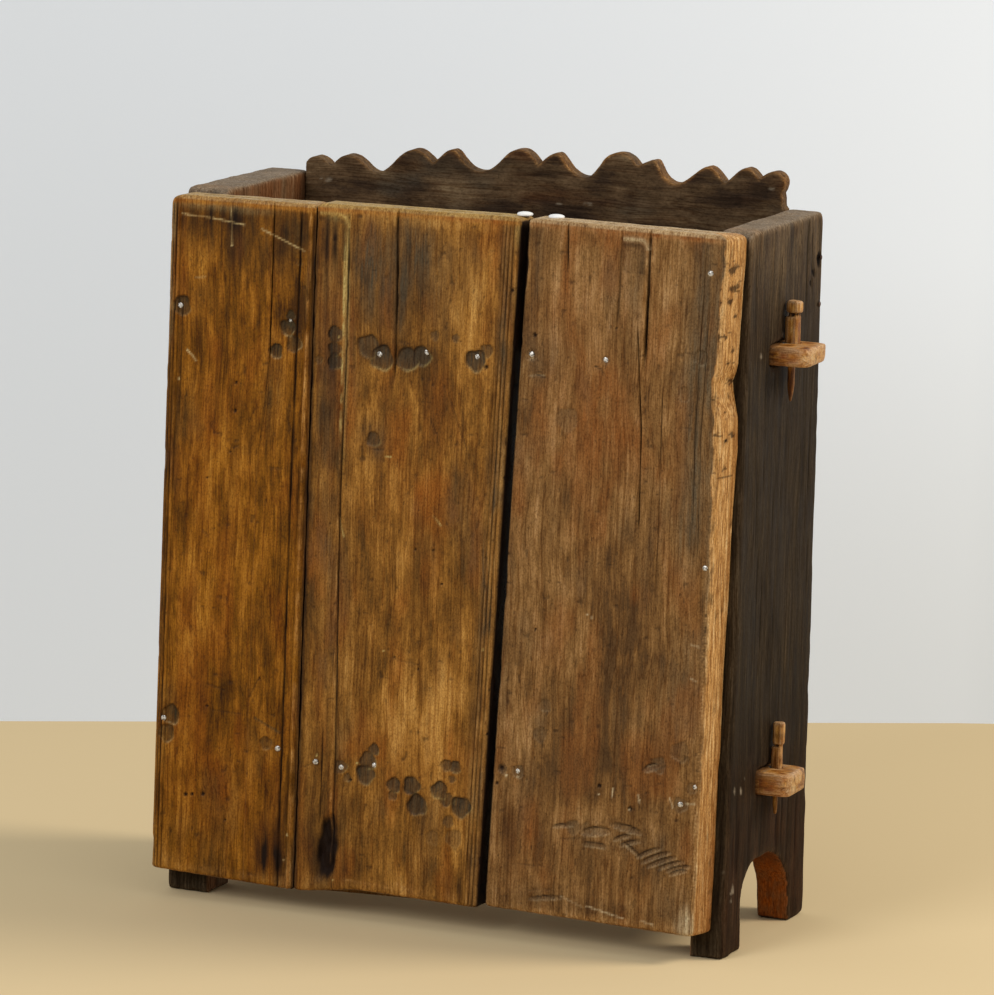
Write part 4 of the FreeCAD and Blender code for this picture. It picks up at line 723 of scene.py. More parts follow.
        # steep along the upper side, with a raised lip along the lower one; the dark along the upper side
        # is partly painted shade, and the pale on the lip is partly a painted highlight
        run = math.hypot(x2 - x1, z2 - z1)
        along = ((x - x1) * (x2 - x1) + (h - z1) * (z2 - z1)) / run ** 2
        arc = np.clip(4 * along * (1 - along), 0, 1)
        off = ((h - z1) * (x2 - x1) - (x - x1) * (z2 - z1)) / run - 1.2 * arc
        taper = np.sqrt(arc)
        width = half * taper + 0.01
        inside = (1 - smooth(np.abs(off) / width, 0.75, 1.05)) * taper
        sink += 1.3 * depth * inside * (0.7 + 0.4 * off / width)
        lip = taper * bell(off, -width - 0.9, 1.0)
        sink -= 0.45 * depth * lip
        most(zones, "grey", 0.50 * inside)
        most(zones, "dirt", 0.95 * taper * bell(off, 0.75 * width, 1.2))
        most(zones, "pale", 0.34 * lip)
    for across, up, radius in facts["flecks"]:
        white = 1 - smooth(np.hypot(x - across, h - up) / max(radius, 1.5), 0.5, 1.2)
        most(zones, "pale", white)
        zones["dirt"] *= 1 - white
    # small knocks and specks of old dirt all over
    specks = smooth(varied(flat, seed, *plank["specks"]), *plank["speckEnds"])
    sink += plank["speckDepth"] * specks
    most(zones, "dirt", 0.50 * specks)
    return sink * front, zones


def cornerInset(away, radius):
    # how far a rounded corner stands back from the straight edge, at a distance from the end
    return radius - np.sqrt(np.clip(radius ** 2 - np.clip(radius - away, 0, radius) ** 2, 0, None))


def boardSkin(facts):
    # the board's section as columns round it, on rows that run over its ends' rounded arrises
    thick, rear, edge, flare = plank["thick"], plank["rearArris"], plank["headRound"], facts["flare"]
    arrisLeft, arrisRight = facts["arrises"]
    soleMean = np.mean([height for across, height in facts["sole"]])
    headMean = np.mean([height for across, height in facts["head"]])
    turns = np.radians(np.linspace(0, 90, plank["roundSteps"]))
    capSteps = np.linspace(thick / 2 - plank["capMiddle"], edge, plank["capRows"])[:-1]
    cap = [(0.0, a) for a in capSteps]
    cap += [(edge * (1 - math.cos(t)), edge * (1 - math.sin(t))) for t in turns[:-1]]
    count = int(round((headMean - soleMean - 2 * edge) / plank["rowStep"]))
    # rows: share of the way up, offset from there, inset of the end grain, and 1 over the head's arris
    rows = [(0.0, rise, a, -1.0) for rise, a in cap]
    rows += [(s, edge * (1 - 2 * s), 0.0, -1.0) for s in np.linspace(0, 1, count + 1)]
    rows += [(1.0, -rise, a, 1.0) for rise, a in cap[::-1]]
    share, offset, inset, isHead = np.array(rows).T
    nominal = soleMean + (headMean - soleMean) * share + offset
    headLeft, headRight, soleLeft, soleRight = facts["corners"]
    left = pathAt(facts["left"], nominal) + cornerInset(headMean - nominal, headLeft)
    left += cornerInset(nominal - soleMean, soleLeft)
    right = pathAt(facts["right"], nominal) - cornerInset(headMean - nominal, headRight)
    right -= cornerInset(nominal - soleMean, soleRight)
    frontRight = right - flare
    # the front's columns follow the grooves and strips, so that their edges are crisp
    anchors = [left + arrisLeft, frontRight - arrisRight]
    for path, width, *rest in facts["grooves"]:
        anchors += [pathAt(path, nominal) + width * s for s in plank["grooveColumns"]]
    for inner, outer, *rest in facts.get("strips", ()):
        anchors += [pathAt(inner, nominal) + s for s in plank["stripColumns"]]
    anchors = np.clip(np.sort(np.array(anchors), axis=0), left + arrisLeft, frontRight - arrisRight)
    columns = []  # across, depth, share of the front, and the way out of the wood in x and in depth
    for start, end in zip(anchors[:-1], anchors[1:]):
        steps = max(1, int(round(np.mean(end - start) / plank["columnStep"])))
        columns += [(start + (end - start) * k / steps, 0.0, 1.0, 0.0, -1.0) for k in range(steps)]
    columns.append((anchors[-1], 0.0, 1.0, 0.0, -1.0))
    for t in turns[1:]:
        columns.append((frontRight - arrisRight + arrisRight * math.sin(t),
                        arrisRight - arrisRight * math.cos(t), math.cos(t), math.sin(t), -math.cos(t)))
    sideDepth = thick - arrisRight - rear
    rightCount = int(round(sideDepth / (plank["rawStep"] if flare else plank["sideStep"])))
    for part in (k / rightCount for k in range(1, rightCount + 1)):
        columns.append((frontRight + flare * part, arrisRight + sideDepth * part, 0.0, 1.0, 0.0))
    backCount = int(round(np.mean(right - left) / plank["backStep"]))
    for k in range(backCount + 1):
        columns.append((right - rear + (left - right + 2 * rear) * k / backCount, thick, 0.0, 0.0, 1.0))
    sideDepth = thick - arrisLeft - rear
    leftCount = int(round(sideDepth / plank["sideStep"]))
    for k in range(leftCount, 0, -1):
        columns.append((left, arrisLeft + sideDepth * k / leftCount, 0.0, -1.0, 0.0))
    for t in turns[:0:-1]:
        columns.append((left + arrisLeft - arrisLeft * math.sin(t),
                        arrisLeft - arrisLeft * math.cos(t), math.cos(t), -math.sin(t), -math.cos(t)))
    x, d, front, outX, outD = [np.array([values * np.ones_like(nominal) for values in part]).T
                               for part in zip(*columns)]
    share, offset, inset, isHead, left, right, frontRight = [
        values[:, None] for values in (share, offset, inset, isHead, left, right, frontRight)]
    # heights follow the slanting sole and head
    sole, head = pathAt(facts["sole"], x), pathAt(facts["head"], x)
    h = sole + (head - sole) * share + offset
    return x, d, h, head - h, front, outX, outD, left, right, frontRight, inset, isHead


def buildBoard(facts):
    x, d, h, under, front, outX, outD, left, right, frontRight, inset, isHead = boardSkin(facts)
    thick, edge, seed = plank["thick"], plank["headRound"], facts["seed"]
    sink, zones = boardMarks(facts, x, h, front)
    fade = np.clip(1 - inset / plank["flatFrom"], 0, 1)
    sink = sink * fade
    # rough sides and backs
    solid = np.stack([x, d, h], axis=-1)
    side = np.abs(outX) * (1 - front)
    # the front's stains run raggedly and only a little way over the sides and the back
    kept = front + (1 - front) * np.clip(varied(solid, seed, *plank["stainOverSides"]), 0, 1)
    for name in ("dirt", "grey", "tone"):
        zones[name] = zones[name] * kept
    sawn = varied(solid, seed, *plank["sawn"])
    if facts["flare"]:
        torn = varied(solid, seed, *plank["torn"]) + varied(solid, seed, *plank["tornFine"])
        sawn = np.where(outX > 0, 0.5 * sawn + 0.6 * torn, sawn)
    sink = sink + (plank["sawnDepth"] + sawn) * side * fade
    sink = sink + varied(solid, seed, *plank["back"]) * (outD > 0)
    # worn front arrises: low places in the long edges
    knocks = np.clip(varied(solid, seed, *plank["knocks"]), 0, 1)
    arrisHere = (front > 0.05) * (front < 0.99)
    sink = sink + arrisHere * knocks * plank["knock"] * fade
    # end grain: rows past the arris draw in towards the middle of the section
    centre = (left + right) / 2
    px = centre + (x - outX * sink - centre) * (1 - inset / ((right - left) / 2))
    pd = thick / 2 + (d - outD * sink - thick / 2) * (1 - inset / (thick / 2))
    ends = np.stack([px, pd, h], axis=-1)
    capShare = np.clip(inset / edge, 0, 1)
    ph = h + isHead * capShare * (varied(ends, seed, *plank["headRough"]) - plank["headSunk"])
    # seams: dirt along the arrises; the sides that face a neighbour are darkened, dirt and partly painted
    # shade in the gap
    leftSeam, rightSeam = facts["seams"]
    zones["bare"] += arrisHere * (0.14 + 0.5 * knocks)
    zones["dirt"] += leftSeam * (1 - smooth(x - left, *plank["seam"])) * (front > 0)
    zones["dirt"] += rightSeam * (1 - smooth(right - x, *plank["seam"])) * (front > 0)
    zones["dirt"] += side * np.where(x < centre, *facts["sides"]) + 0.10 * (outD > 0)
    zones["grey"] += 0.30 * (outD > 0)
    # the head: a rubbed orange line under a pinkish arris, and grey-tan end grain on top, painted paler
    # partly as painted light on the upward face
    uneven = varied(solid, seed, *plank["rubUneven"])
    rubbed = bell(under, *plank["rub"]) * front * uneven
    arrisTop = (1 - smooth(under, *plank["arrisTop"])) * (isHead > 0) * (outD < 0.5)
    cleared = np.clip(np.maximum(rubbed, arrisTop), 0, 1)
    for name in ("dirt", "grey", "pale"):
        zones[name] = zones[name] * (1 - 0.9 * cleared)
    zones["tone"] = zones["tone"] * (1 - cleared) + 0.75 * rubbed
    zones["warm"] = zones["warm"] * (1 - arrisTop) + 0.40 * rubbed + 0.20 * arrisTop
    zones["bare"] += 0.25 * arrisTop * uneven
    zones["pale"] += 0.42 * arrisTop * uneven
    lid = smooth(inset, *plank["lid"])
    for name in zoneNames:
        zones[name] = zones[name] * (1 - lid)
    speckled = varied(ends, seed, *plank["speckled"])
    # painted light, in part: the head's end grain is painted paler to stand in for the light on the top
    # face
    zones["grey"] += lid * np.where(isHead > 0, 0.10, 0.5)
    zones["pale"] += lid * np.where(isHead > 0, 0.95, 0.0) * speckled
    zones["bare"] += lid * np.where(isHead > 0, 0.30, 0.1) * speckled
    if facts["flare"]:
        rawEdge(facts, zones, x, d, h, outX, outD, front, frontRight, solid)
    # from the board's own measures to the room
    tall = thick - pd
    world = np.stack([px, plank["rear"] - tall * math.cos(lean) + ph * math.sin(lean),
                      tall * math.sin(lean) + ph * math.cos(lean)], axis=-1)
    index = np.arange(x.size).reshape(x.shape)
    nextColumn = np.roll(index, -1, axis=1)
    quads = np.stack([index[:-1], nextColumn[:-1], nextColumn[1:], index[1:]], axis=-1).reshape(-1, 4)
    mesh = bpy.data.meshes.new(facts["node"])
    mesh.from_pydata((world.reshape(-1, 3) * mm).tolist(), [],
                     quads.tolist() + [index[0][::-1].tolist(), index[-1].tolist()])
    mesh.validate()
    setZones(mesh, zones)
    finishPiece(facts["node"] + "_worn", mesh, "cupboard", facts["wood"], facts["node"])


rawWood = {
    "border": ((1.8, (60, 60, 26), 31, 2), (0.9, (60, 60, 6), 32, 2)), "tooth": 4.4,
    "ridge": (0.8, 0.6, (60, 60, 26), 36, 2), "ragged": (0, 0.55, (5, 3.5, 2.6), 35, 2),
    "paint": (
        ("warm", "raw", 0, 0.30, (10, 10, 30), 37, 3, 0.1, 1.0),
        ("dirt", "rawHead", 0, 0.75, (14, 14, 3.6), 33, 2, 0.72, 1.0),
        ("dirt", "raw", 0, 0.50, (7, 7, 16), 34, 3, 0.55, 1.1),
    ),
}


def rawEdge(facts, zones, x, d, h, outX, outD, front, frontRight, solid):
    # the board's outer edge, never waxed: golden, with a pale ridge where it meets the front that is
    # partly a painted highlight, and painted darker towards the rear, partly as painted shade
    border = pathAt(facts["rawBorder"], h) + roughness(solid, 0, rawWood["border"])
    past = x - frontRight + border
    notBack = outD < 0.5
    raw = smooth(past, -0.8, 0.8) * notBack
    raw = np.where((outX > 0.9) * (front < 0.5), 1.0, raw)
    for name in ("dirt", "grey", "tone", "warm", "pale"):
        zones[name] = zones[name] * (1 - raw)
    low, high = 1 - smooth(h, 60, 300), smooth(h, 430, 500)
    # painted shade in part: the raw wood darker and warmer towards the rear
    rearPart = smooth(d, 24, 31) * raw
    zones["bare"] = zones["bare"] * (1 - raw) + raw * (0.92 - 0.34 * low - 0.35 * rearPart)
    zones["warm"] += raw * (0.85 * low + 0.25 * smooth(h, 690, 800)) + 0.45 * rearPart
    # painted highlight in part: a pale ridge along the front arris
    ridge = bell((x - frontRight + 2.0) * high + (past - 2.0) * (1 - high), 0, 2.2)
    ridge = ridge * notBack * (x > frontRight - 14) * (front > 0.02)
    ridge = ridge * np.clip(varied(solid, 0, *rawWood["ridge"]), 0, 1.2)
    zones["pale"] += 0.75 * ridge * (1 - smooth(h, 750, 800)) + 0.25 * ridge * low
    zones["grey"] += 0.45 * smooth(past, -9, -2) * (1 - raw) * (x > frontRight - 22) * smooth(h, 330, 460)
    zones["warm"] += 0.35 * raw * high * (x < frontRight - 4)
    # saw teeth left a rope-like row of ticks beside it
    teeth = np.clip(np.sin(h * 2 * math.pi / rawWood["tooth"] + x * 0.5), 0, 1)
    teeth *= smooth(past, -6.5, -4.5) * (1 - smooth(past, -1.5, 0))
    teeth *= smooth(h, 50, 90) * (1 - smooth(h, 380, 430)) * (x > frontRight - 14) * notBack
    zones["bare"] += 0.35 * teeth
    zones["grey"] += 0.25 * teeth
    paint(zones, solid, 0, {"raw": raw, "rawHead": raw * smooth(h, 500, 560)}, rawWood["paint"])
    ragged = varied(solid, 0, *rawWood["ragged"])
    for up, depth, size in facts["rawKnots"]:
        reach = np.hypot((h - up) / size, (d - depth + np.clip(frontRight - x, 0, 9)) / size / 1.7)
        knot = (1 - smooth(reach + ragged, 0.35, 1.1)) * smooth(x - frontRight, -9, -6) * notBack
        most(zones, "dirt", 0.80 * smooth(knot, 0.5, 1.0))
        zones["warm"] += 0.85 * knot


for facts in (leftBoard, middleBoard, rightBoard):
    buildBoard(facts)


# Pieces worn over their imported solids

def coordinates(mesh, points):
    mesh.vertices.foreach_set("co", (points * mm).ravel())
    mesh.update()


def spread(values, edges, rounds):
    # each point takes the mean of its neighbours, a few times over
    count = np.bincount(edges.ravel(), minlength=len(values))[:, None]
    for step in range(rounds):
        total = [np.bincount(edges[:, 0], column[edges[:, 1]], len(values))
                 + np.bincount(edges[:, 1], column[edges[:, 0]], len(values)) for column in values.T]
        values = np.stack(total, axis=1) / count
    return values


def wornSkin(node, facts):
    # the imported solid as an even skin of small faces: its mesh, points and normals, how far each
    # point stands out from its surroundings, positive on arrises, and its way to a worn-down form
    source = bpy.data.objects.new(node + "_source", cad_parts[node].data.copy())
    bpy.context.scene.collection.objects.link(source)
    skin = source.modifiers.new("skin", "REMESH")
    skin.mode = "VOXEL"
    skin.voxel_size = facts["voxel"] * mm
    mesh = bpy.data.meshes.new_from_object(source.evaluated_get(bpy.context.evaluated_depsgraph_get()))
    bpy.data.objects.remove(source)
    mesh.name = node
    points = np.zeros(len(mesh.vertices) * 3)
    mesh.vertices.foreach_get("co", points)
    points = points.reshape(-1, 3) / mm
    edges = np.zeros(len(mesh.edges) * 2, np.int64)
    mesh.edges.foreach_get("vertices", edges)
    edges = edges.reshape(-1, 2)
    coordinates(mesh, points)
    normals = np.zeros(len(mesh.vertices) * 3)
    mesh.vertex_normals.foreach_get("vector", normals)
    normals = normals.reshape(-1, 3)
    near, far = facts["rounds"]
    stands = np.sum((points - spread(points, edges, near)) * normals, axis=1)
    return mesh, points, normals, stands, spread(points, edges, far) - points


def closePiece(node, mesh, points, zones, body, wood):
    coordinates(mesh, points)
    setZones(mesh, zones)
    finishPiece(node + "_worn", mesh, body, wood, node)


def emptyZones(points):
    return {name: np.zeros(len(points)) for name in zoneNames}


sidePanel = {
    "voxel": 3.0, "rounds": (6, 9), "wear": 0.75, "crack": 0.7, "skin": 0.4, "knotDepth": 1.4,
    "waves": ((0.5, (50, 50, 200), 1, 2), (0.20, (6, 6, 110), 2, 2)), "crackEnds": (0.62, 1.0),
    "cracks": (0, 1, (5.5, 5.5, 130), 8, 2), "rubbing": (0.7, 0.5, (18, 18, 30), 0, 2),
    "streaky": (0.8, 0.5, (7, 7, 80), 3, 2), "patchy": (0.8, 0.5, (22, 22, 30), 4, 3),
    "knotWander": (0, 0.4, (6, 6, 6), 9, 1), "fleckWander": (0, 0.5, (3.5, 3.5, 3.5), 6, 1),
    "rises": {"smoke": (620, 815), "foot": (60, 330), "footWarm": (60, 300), "grey": (250, 420),
              "rubbed": (690, 812), "lid": (790, 812), "headEdge": (770, 812), "rearFoot": (90, 420),
              "soot": (52, 98)},
    "frontCorner": (-116, -92), "rubbedLid": (-74, 16), "archHeight": (2, 112), "archDepth": (-60, 132),
    "flecks": [(-56, 677, 3), (11, 693, 3), (-91, 192, 4), (-72, 188, 4), (-116, 134, 4), (-89, 77, 6),
               (-92, 66, 3), (-110, 100, 2), (-60, 200, 2)],
    "knots": [(121, 765, 9), (104, 752, 6), (96, 742, 4)],
    "paint": (
        # smoke has left the upper end brown and the foot black
        ("tone", "smoked", 0.75), ("tone", "outer", -0.15), ("tone", "foot", -0.60),
        ("warm", "smokedPatch", 0.05), ("warm", "footPatch", 0.08), ("grey", "middlePatch", 0.25),
        ("pale", "rubbed", 0.12), ("grey", "middleStreak", 0.35),
        # the inner faces are painted lighter and warmer: the wood's own colour, and partly painted light
        # as if lit from the upper right
        ("tone", "inward", 0.75, 0.5, (16, 16, 130), 10, 3),
        ("warm", "inward", 0.34, 0.22, (14, 14, 90), 11, 3),
        ("bare", "inward", 0.26, 0.12, (11, 11, 70), 12, 2), ("dirt", "inwardCrack", 0.70),
        ("dirt", "inwardStreak", 0.2),
        # dry grey-tan end grain on top, painted paler partly as painted light on the upward face, darker
        # at the front corner, with one rubbed patch
        ("bare", "lidBare", 1.0), ("grey", "lid", 0.3), ("pale", "lidPale", 1.0),
        ("bare", "edge", 0.08), ("bare", "headEdge", 0.34),
        ("warm", "rearEdge", 0.38), ("tone", "rearEdge", 0.50),
        # the arch: sawn clean, so the wood's own orange shows inside it, sooty towards its crown
        ("warm", "arch", 0.78, 0.3, (10, 10, 10), 5, 2), ("tone", "arch", 1.0),
        ("dirt", "archSoot", 0.60),
        ("dirt", "knot", 0.95), ("dirt", "outer", 0, 0.35, (30, 30, 110), 7, 3, 0.4, 1.2),
        ("dirt", "outerCrack", 0.55),
    ),
}


def buildPanel(node, sign, seed):
    facts = sidePanel
    mesh, points, normals, stands, pull = wornSkin(node, facts)
    rub = np.clip(stands / 1.2, 0, 1) * facts["wear"]
    rub *= varied(points, seed, *facts["rubbing"])
    points = points + pull * np.clip(rub, 0, 1)[:, None]
    relief = roughness(points, seed, facts["waves"])
    cracks = smooth(varied(points, seed, *facts["cracks"]), *facts["crackEnds"])
    cracks *= np.abs(normals[:, 2]) < 0.6
    relief -= facts["crack"] * cracks
    y, z = points[:, 1], points[:, 2]
    wander = varied(points, seed, *facts["knotWander"])
    knot = np.zeros(len(points))
    for fy, fz, radius in facts["knots"]:
        reach = np.hypot(y - fy, z - fz) / radius + wander
        knot = np.maximum(knot, (1 - smooth(reach, 0.5, 1.1)) * (normals[:, 0] * sign > 0.2))
    relief -= facts["knotDepth"] * knot
    points = points + normals * (relief - facts["skin"])[:, None]
    streaky, patchy = (varied(points, seed, *facts[name]) for name in ("streaky", "patchy"))
    outer, inward = np.clip(normals[:, 0] * sign, 0, 1), np.clip(-normals[:, 0] * sign, 0, 1)
    upward, edge = np.clip(normals[:, 2], 0, 1), np.clip(stands, 0, 1)
    up = {name: smooth(z, *ends) for name, ends in facts["rises"].items()}
    lid = upward * up["lid"]
    corner = 1 - smooth(y, *facts["frontCorner"])
    (archFoot, archCrown), (archFront, archRear) = facts["archHeight"], facts["archDepth"]
    arch = (z < archCrown) * (z > archFoot) * (y > archFront) * (y < archRear)
    arch = arch * (np.abs(normals[:, 0]) < 0.7)
    rubbedPatch = bell(y, *facts["rubbedLid"])
    masks = {
        "outer": outer, "smoked": outer * up["smoke"] * streaky, "foot": outer * (1 - up["foot"]),
        "smokedPatch": outer * up["smoke"] * streaky * patchy,
        "footPatch": outer * (1 - up["footWarm"]) * streaky * patchy,
        "middlePatch": outer * up["grey"] * (1 - up["smoke"]) * patchy,
        "rubbed": outer * up["rubbed"] * streaky,
        "middleStreak": outer * (1 - up["smoke"]) * np.clip(streaky - 0.5, 0, 1),
        "inward": inward, "inwardCrack": inward * cracks,
        "inwardStreak": inward * smooth(streaky, 1.0, 1.4),
        "lid": lid, "lidPale": lid * (0.75 - 0.45 * corner) * (0.5 + 0.5 * patchy),
        "lidBare": lid * (0.6 + 0.4 * patchy) * (0.40 - 0.30 * corner + 0.45 * rubbedPatch),
        "edge": edge * (1 - upward),
        "headEdge": edge * (1 - upward) * up["headEdge"] * smooth(patchy, 0.6, 1.1),
        "rearEdge": np.clip(normals[:, 1], 0, 1) * (1 - up["rearFoot"]) * streaky,
        "arch": arch, "archSoot": arch * up["soot"], "knot": knot, "outerCrack": outer * cracks,
    }
    zones = emptyZones(points)
    paint(zones, points, seed, masks, facts["paint"])
    ragged = varied(points, seed, *facts["fleckWander"])
    for fy, fz, radius in facts["flecks"]:
        reach = np.hypot(y - fy, z - fz) / radius
        most(zones, "pale", (1 - smooth(reach + ragged, 0.5, 1.1)) * outer * 0.7)
    closePiece(node, mesh, points, zones, "cupboard", "smoked_oak")


buildPanel("right_side_panel", 1, 101)
buildPanel("left_side_panel", -1, 131)


crest = {
    "voxel": 1.8, "rounds": (8, 5), "wear": 0.24, "skin": 0.3, "check": 0.6, "seed": 201,
    "waves": ((0.6, (160, 40, 40), 1, 2), (0.22, (70, 5, 5), 2, 2)), "checkEnds": (0.70, 1.0),
    "checks": (0, 1, (110, 6, 5.5), 7, 2), "rubbing": (0.8, 0.4, (16, 16, 16), 0, 2),
    "patchy": (0.7, 0.6, (30, 30, 30), 3, 2), "scuffWander": (0, 0.6, (4, 4, 3), 6, 1),
    "humps": (812, 858), "cut": (770, 800), "foot": (690, 760),
    "scuffs": [(-262, 812, 10), (30, 806, 5), (68, 808, 6), (236, 768, 12), (289, 843, 5)],
    "paint": (  # hands have rubbed the scallops' cut edges and rims; the face is sooty and clouded
        ("bare", "cutPatch", 0.28), ("bare", "cutHump", 0.30), ("bare", "rim", 0.55),
        ("grey", "cut", 0.18), ("warm", "warmRim", 0.34), ("warm", "warmCut", 0.20),
        ("tone", "humps", 0.30),
        ("tone", "forward", 0, 0.40, (120, 30, 30), 8, 3),
        ("dirt", "all", 0, 0.45, (90, 40, 30), 4, 3, 0.25, 1.1), ("dirt", "checks", 0.5),
        ("dirt", "footPatch", 0.45), ("warm", "facing", 0, 0.35, (90, 30, 24), 9, 3, 0.1, 1.0),
        ("grey", "all", 0, 0.40, (60, 30, 30), 5, 2, 0.1, 0.9),
    ),
}


def buildCrest(facts):
    seed = facts["seed"]
    mesh, points, normals, stands, pull = wornSkin("crest_board", facts)
    rub = np.clip(stands, 0, 1) * facts["wear"] * varied(points, seed, *facts["rubbing"])
    points = points + pull * np.clip(rub, 0, 1)[:, None]
    checks = smooth(varied(points, seed, *facts["checks"]), *facts["checkEnds"])
    relief = roughness(points, seed, facts["waves"]) - facts["skin"] - facts["check"] * checks
    points = points + normals * relief[:, None]
    x, z = points[:, 0], points[:, 2]
    facing = np.abs(normals[:, 1])
    edge = np.clip(stands / 0.8, 0, 1)
    patchy = varied(points, seed, *facts["patchy"])
    humps = smooth(z, *facts["humps"])
    cut = (1 - smooth(facing, 0.5, 0.9)) * smooth(z, *facts["cut"])
    oftenHeld = smooth(patchy, 0.55, 1.15)
    masks = {
        "all": 1.0, "cut": cut, "cutPatch": cut * patchy, "cutHump": cut * humps * patchy, "humps": humps,
        "rim": edge * humps * (normals[:, 2] > 0.1) * patchy, "warmRim": edge * humps * oftenHeld,
        "warmCut": cut * oftenHeld, "forward": np.clip(-normals[:, 1], 0.4, 1), "checks": checks,
        "footPatch": facing * (1 - smooth(z, *facts["foot"])) * patchy, "facing": facing,
    }
    zones = emptyZones(points)
    paint(zones, points, seed, masks, facts["paint"])
    ragged = varied(points, seed, *facts["scuffWander"])
    for cx, cz, half in facts["scuffs"]:
        reach = np.hypot((x - cx) / half, (z - cz) / (half * 0.35))
        most(zones, "pale", 0.62 * (1 - smooth(reach + ragged, 0.3, 1.2)) * (normals[:, 1] < 0))
    closePiece("crest_board", mesh, points, zones, "cupboard", "smoked_poplar")


buildCrest(crest)


shelf = {
    "voxel": 2.4, "rounds": (4, 5), "wear": 0.7, "skin": 0.25,
    "tenonRoot": (346, 349), "seam": (348, 354),
    "wave": (0, 0.3, (40, 14, 14), 1, 2), "chop": (0, 0.6, (4, 5, 14), 2, 2), "facet": (8, 12),
    "rubbing": (0.7, 0.5, (9, 9, 9), 0, 2), "patchy": (0, 1, (12, 9, 9), 3, 3),
    "paint": (
        ("tone", "tenon", 0.10), ("tone", "tenonPatch", 0.95), ("tone", "inside", -1.0),
        ("grey", "ends", 0.34), ("grey", "inside", 0.45),
        ("dirt", "ends", 0, 0.40, (4, 3, 16), 4, 2, 0.1, 0.9), ("dirt", "seam", 0.55),
        ("bare", "tenonEdge", 0.60), ("bare", "tenonEdgePatch", 0.4),
        ("dirt", "tenon", 0, 0.35, (9, 7, 7), 6, 3, 0.3, 1.1),
        ("bare", "chip", 0.55), ("warm", "tenonFace", 0.55), ("warm", "tenonFacePatch", 0.55),
    ),
}


def buildShelf(node, seed):
    facts = shelf
    mesh, points, normals, stands, pull = wornSkin(node, facts)
    tenon = smooth(np.abs(points[:, 0]), *facts["tenonRoot"])
    rub = np.clip(stands, 0, 1) * facts["wear"] * varied(points, seed, *facts["rubbing"])
    points = points + pull * (np.clip(rub, 0, 1) * (0.4 + 0.6 * tenon))[:, None]
    ends = smooth(np.abs(normals[:, 0]), 0.55, 0.85) * tenon
    relief = varied(points, seed, *facts["wave"]) * (0.4 + tenon)
    relief += ends * varied(points, seed, *facts["chop"])
    points = points + normals * (relief - facts["skin"])[:, None]
    low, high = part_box(node)
    x, z = np.abs(points[:, 0]), points[:, 2]
    patchy = varied(points, seed, *facts["patchy"])
    middle = (low.z + high.z) / 2 / mm
    edge = tenon * np.clip(stands / 0.45, 0, 1)
    # a knife facet has left a pale triangle at the front corner of each tenon
    chip = 1 - smooth(high.x / mm - x + 0.9 * np.abs(z - middle), *facts["facet"])
    chip = chip * (normals[:, 1] < 0.2) * tenon
    face = tenon * (1 - ends) * (1 - chip) * (0.6 + 0.5 * (normals[:, 1] < -0.4))
    masks = {
        "tenon": tenon, "tenonPatch": tenon * patchy, "inside": 1 - tenon, "ends": ends,
        "seam": tenon * (1 - smooth(x, *facts["seam"])),
        "tenonEdge": edge, "tenonEdgePatch": edge * patchy,
        "chip": chip * (1 - 0.5 * ends), "tenonFace": face, "tenonFacePatch": face * patchy,
    }
    zones = emptyZones(points)
    paint(zones, points, seed, masks, facts["paint"])
    closePiece(node, mesh, points, zones, "cupboard", "oiled_beech")


buildShelf("upper_shelf", 301)
buildShelf("lower_shelf", 331)


wedge = {
    "voxel": 0.9, "rounds": (9, 10), "wear": 0.35, "dome": 0.5, "squeeze": 0.72, "skin": 0.15,
    "seed": 401,
    "facets": ((0.45, (8, 8, 20), 0, 2), (0.12, (2.5, 2.5, 20), 1, 1)),
    "patchy": (0, 1, (6, 6, 12), 2, 2),
    "paint": (
        # edges and upward faces painted paler: rubbed, and partly a painted highlight; the neck and the
        # band under the head are darkened, dirt and partly painted shade in those recesses
        ("bare", "edge", 0.9), ("bare", "upward", 0.5), ("bare", "head", 0.35), ("tone", "patchy", 0.5),
        ("tone", "top", 0.35), ("tone", "point", -0.5),
        ("warm", "all", 0, 0.35, (7, 7, 18), 3, 2, 0.0, 0.8),
        ("dirt", "neck", 0.95), ("dirt", "tip", 0.50), ("dirt", "underHead", 0.35),
    ),
}


def buildWedge(name, seed):
    # long knife facets, a head rounded by blows and a neck cut in deeper
    facts = wedge
    mesh, points, normals, stands, pull = wornSkin(name, facts)
    z = points[:, 2]
    top, foot = z.max(), z.min()
    share = (z - foot) / (top - foot)
    head = smooth(z, top - 9, top - 2)
    rub = np.clip(stands / 1.2, 0, 1) * (facts["wear"] + facts["dome"] * head)
    points = points + pull * np.clip(rub, 0, 1)[:, None]
    neck = np.clip(-stands / 0.28, 0, 1) * smooth(share, 0.6, 0.7)
    relief = roughness(points, seed, facts["facets"]) - facts["skin"] - facts["squeeze"] * neck
    points = points + normals * relief[:, None]
    patchy = varied(points, seed, *facts["patchy"])
    upward = np.clip(normals[:, 2], 0, 1)
    masks = {
        "edge": np.clip(stands / 0.30, 0, 1) * (0.65 + 0.5 * patchy) * smooth(share, 0.2, 0.5),
        "upward": upward, "head": head * (0.7 + 0.5 * patchy), "patchy": patchy, "all": 1.0, "neck": neck,
        "top": smooth(share, 0.75, 1.0), "point": 1 - smooth(share, 0.25, 0.5),
        "tip": 1 - smooth(share, 0.0, 0.42), "underHead": bell(z, top - 15, 3.5) * (1 - upward),
    }
    zones = emptyZones(points)
    paint(zones, points, seed, masks, facts["paint"])
    closePiece(name, mesh, points, zones, name, "whittled_ash")


wedgeNames = ("upper_left_wedge", "upper_right_wedge", "lower_left_wedge", "lower_right_wedge")
for number, name in enumerate(wedgeNames):
    buildWedge(name, wedge["seed"] + 10 * number)


# Nails and pads

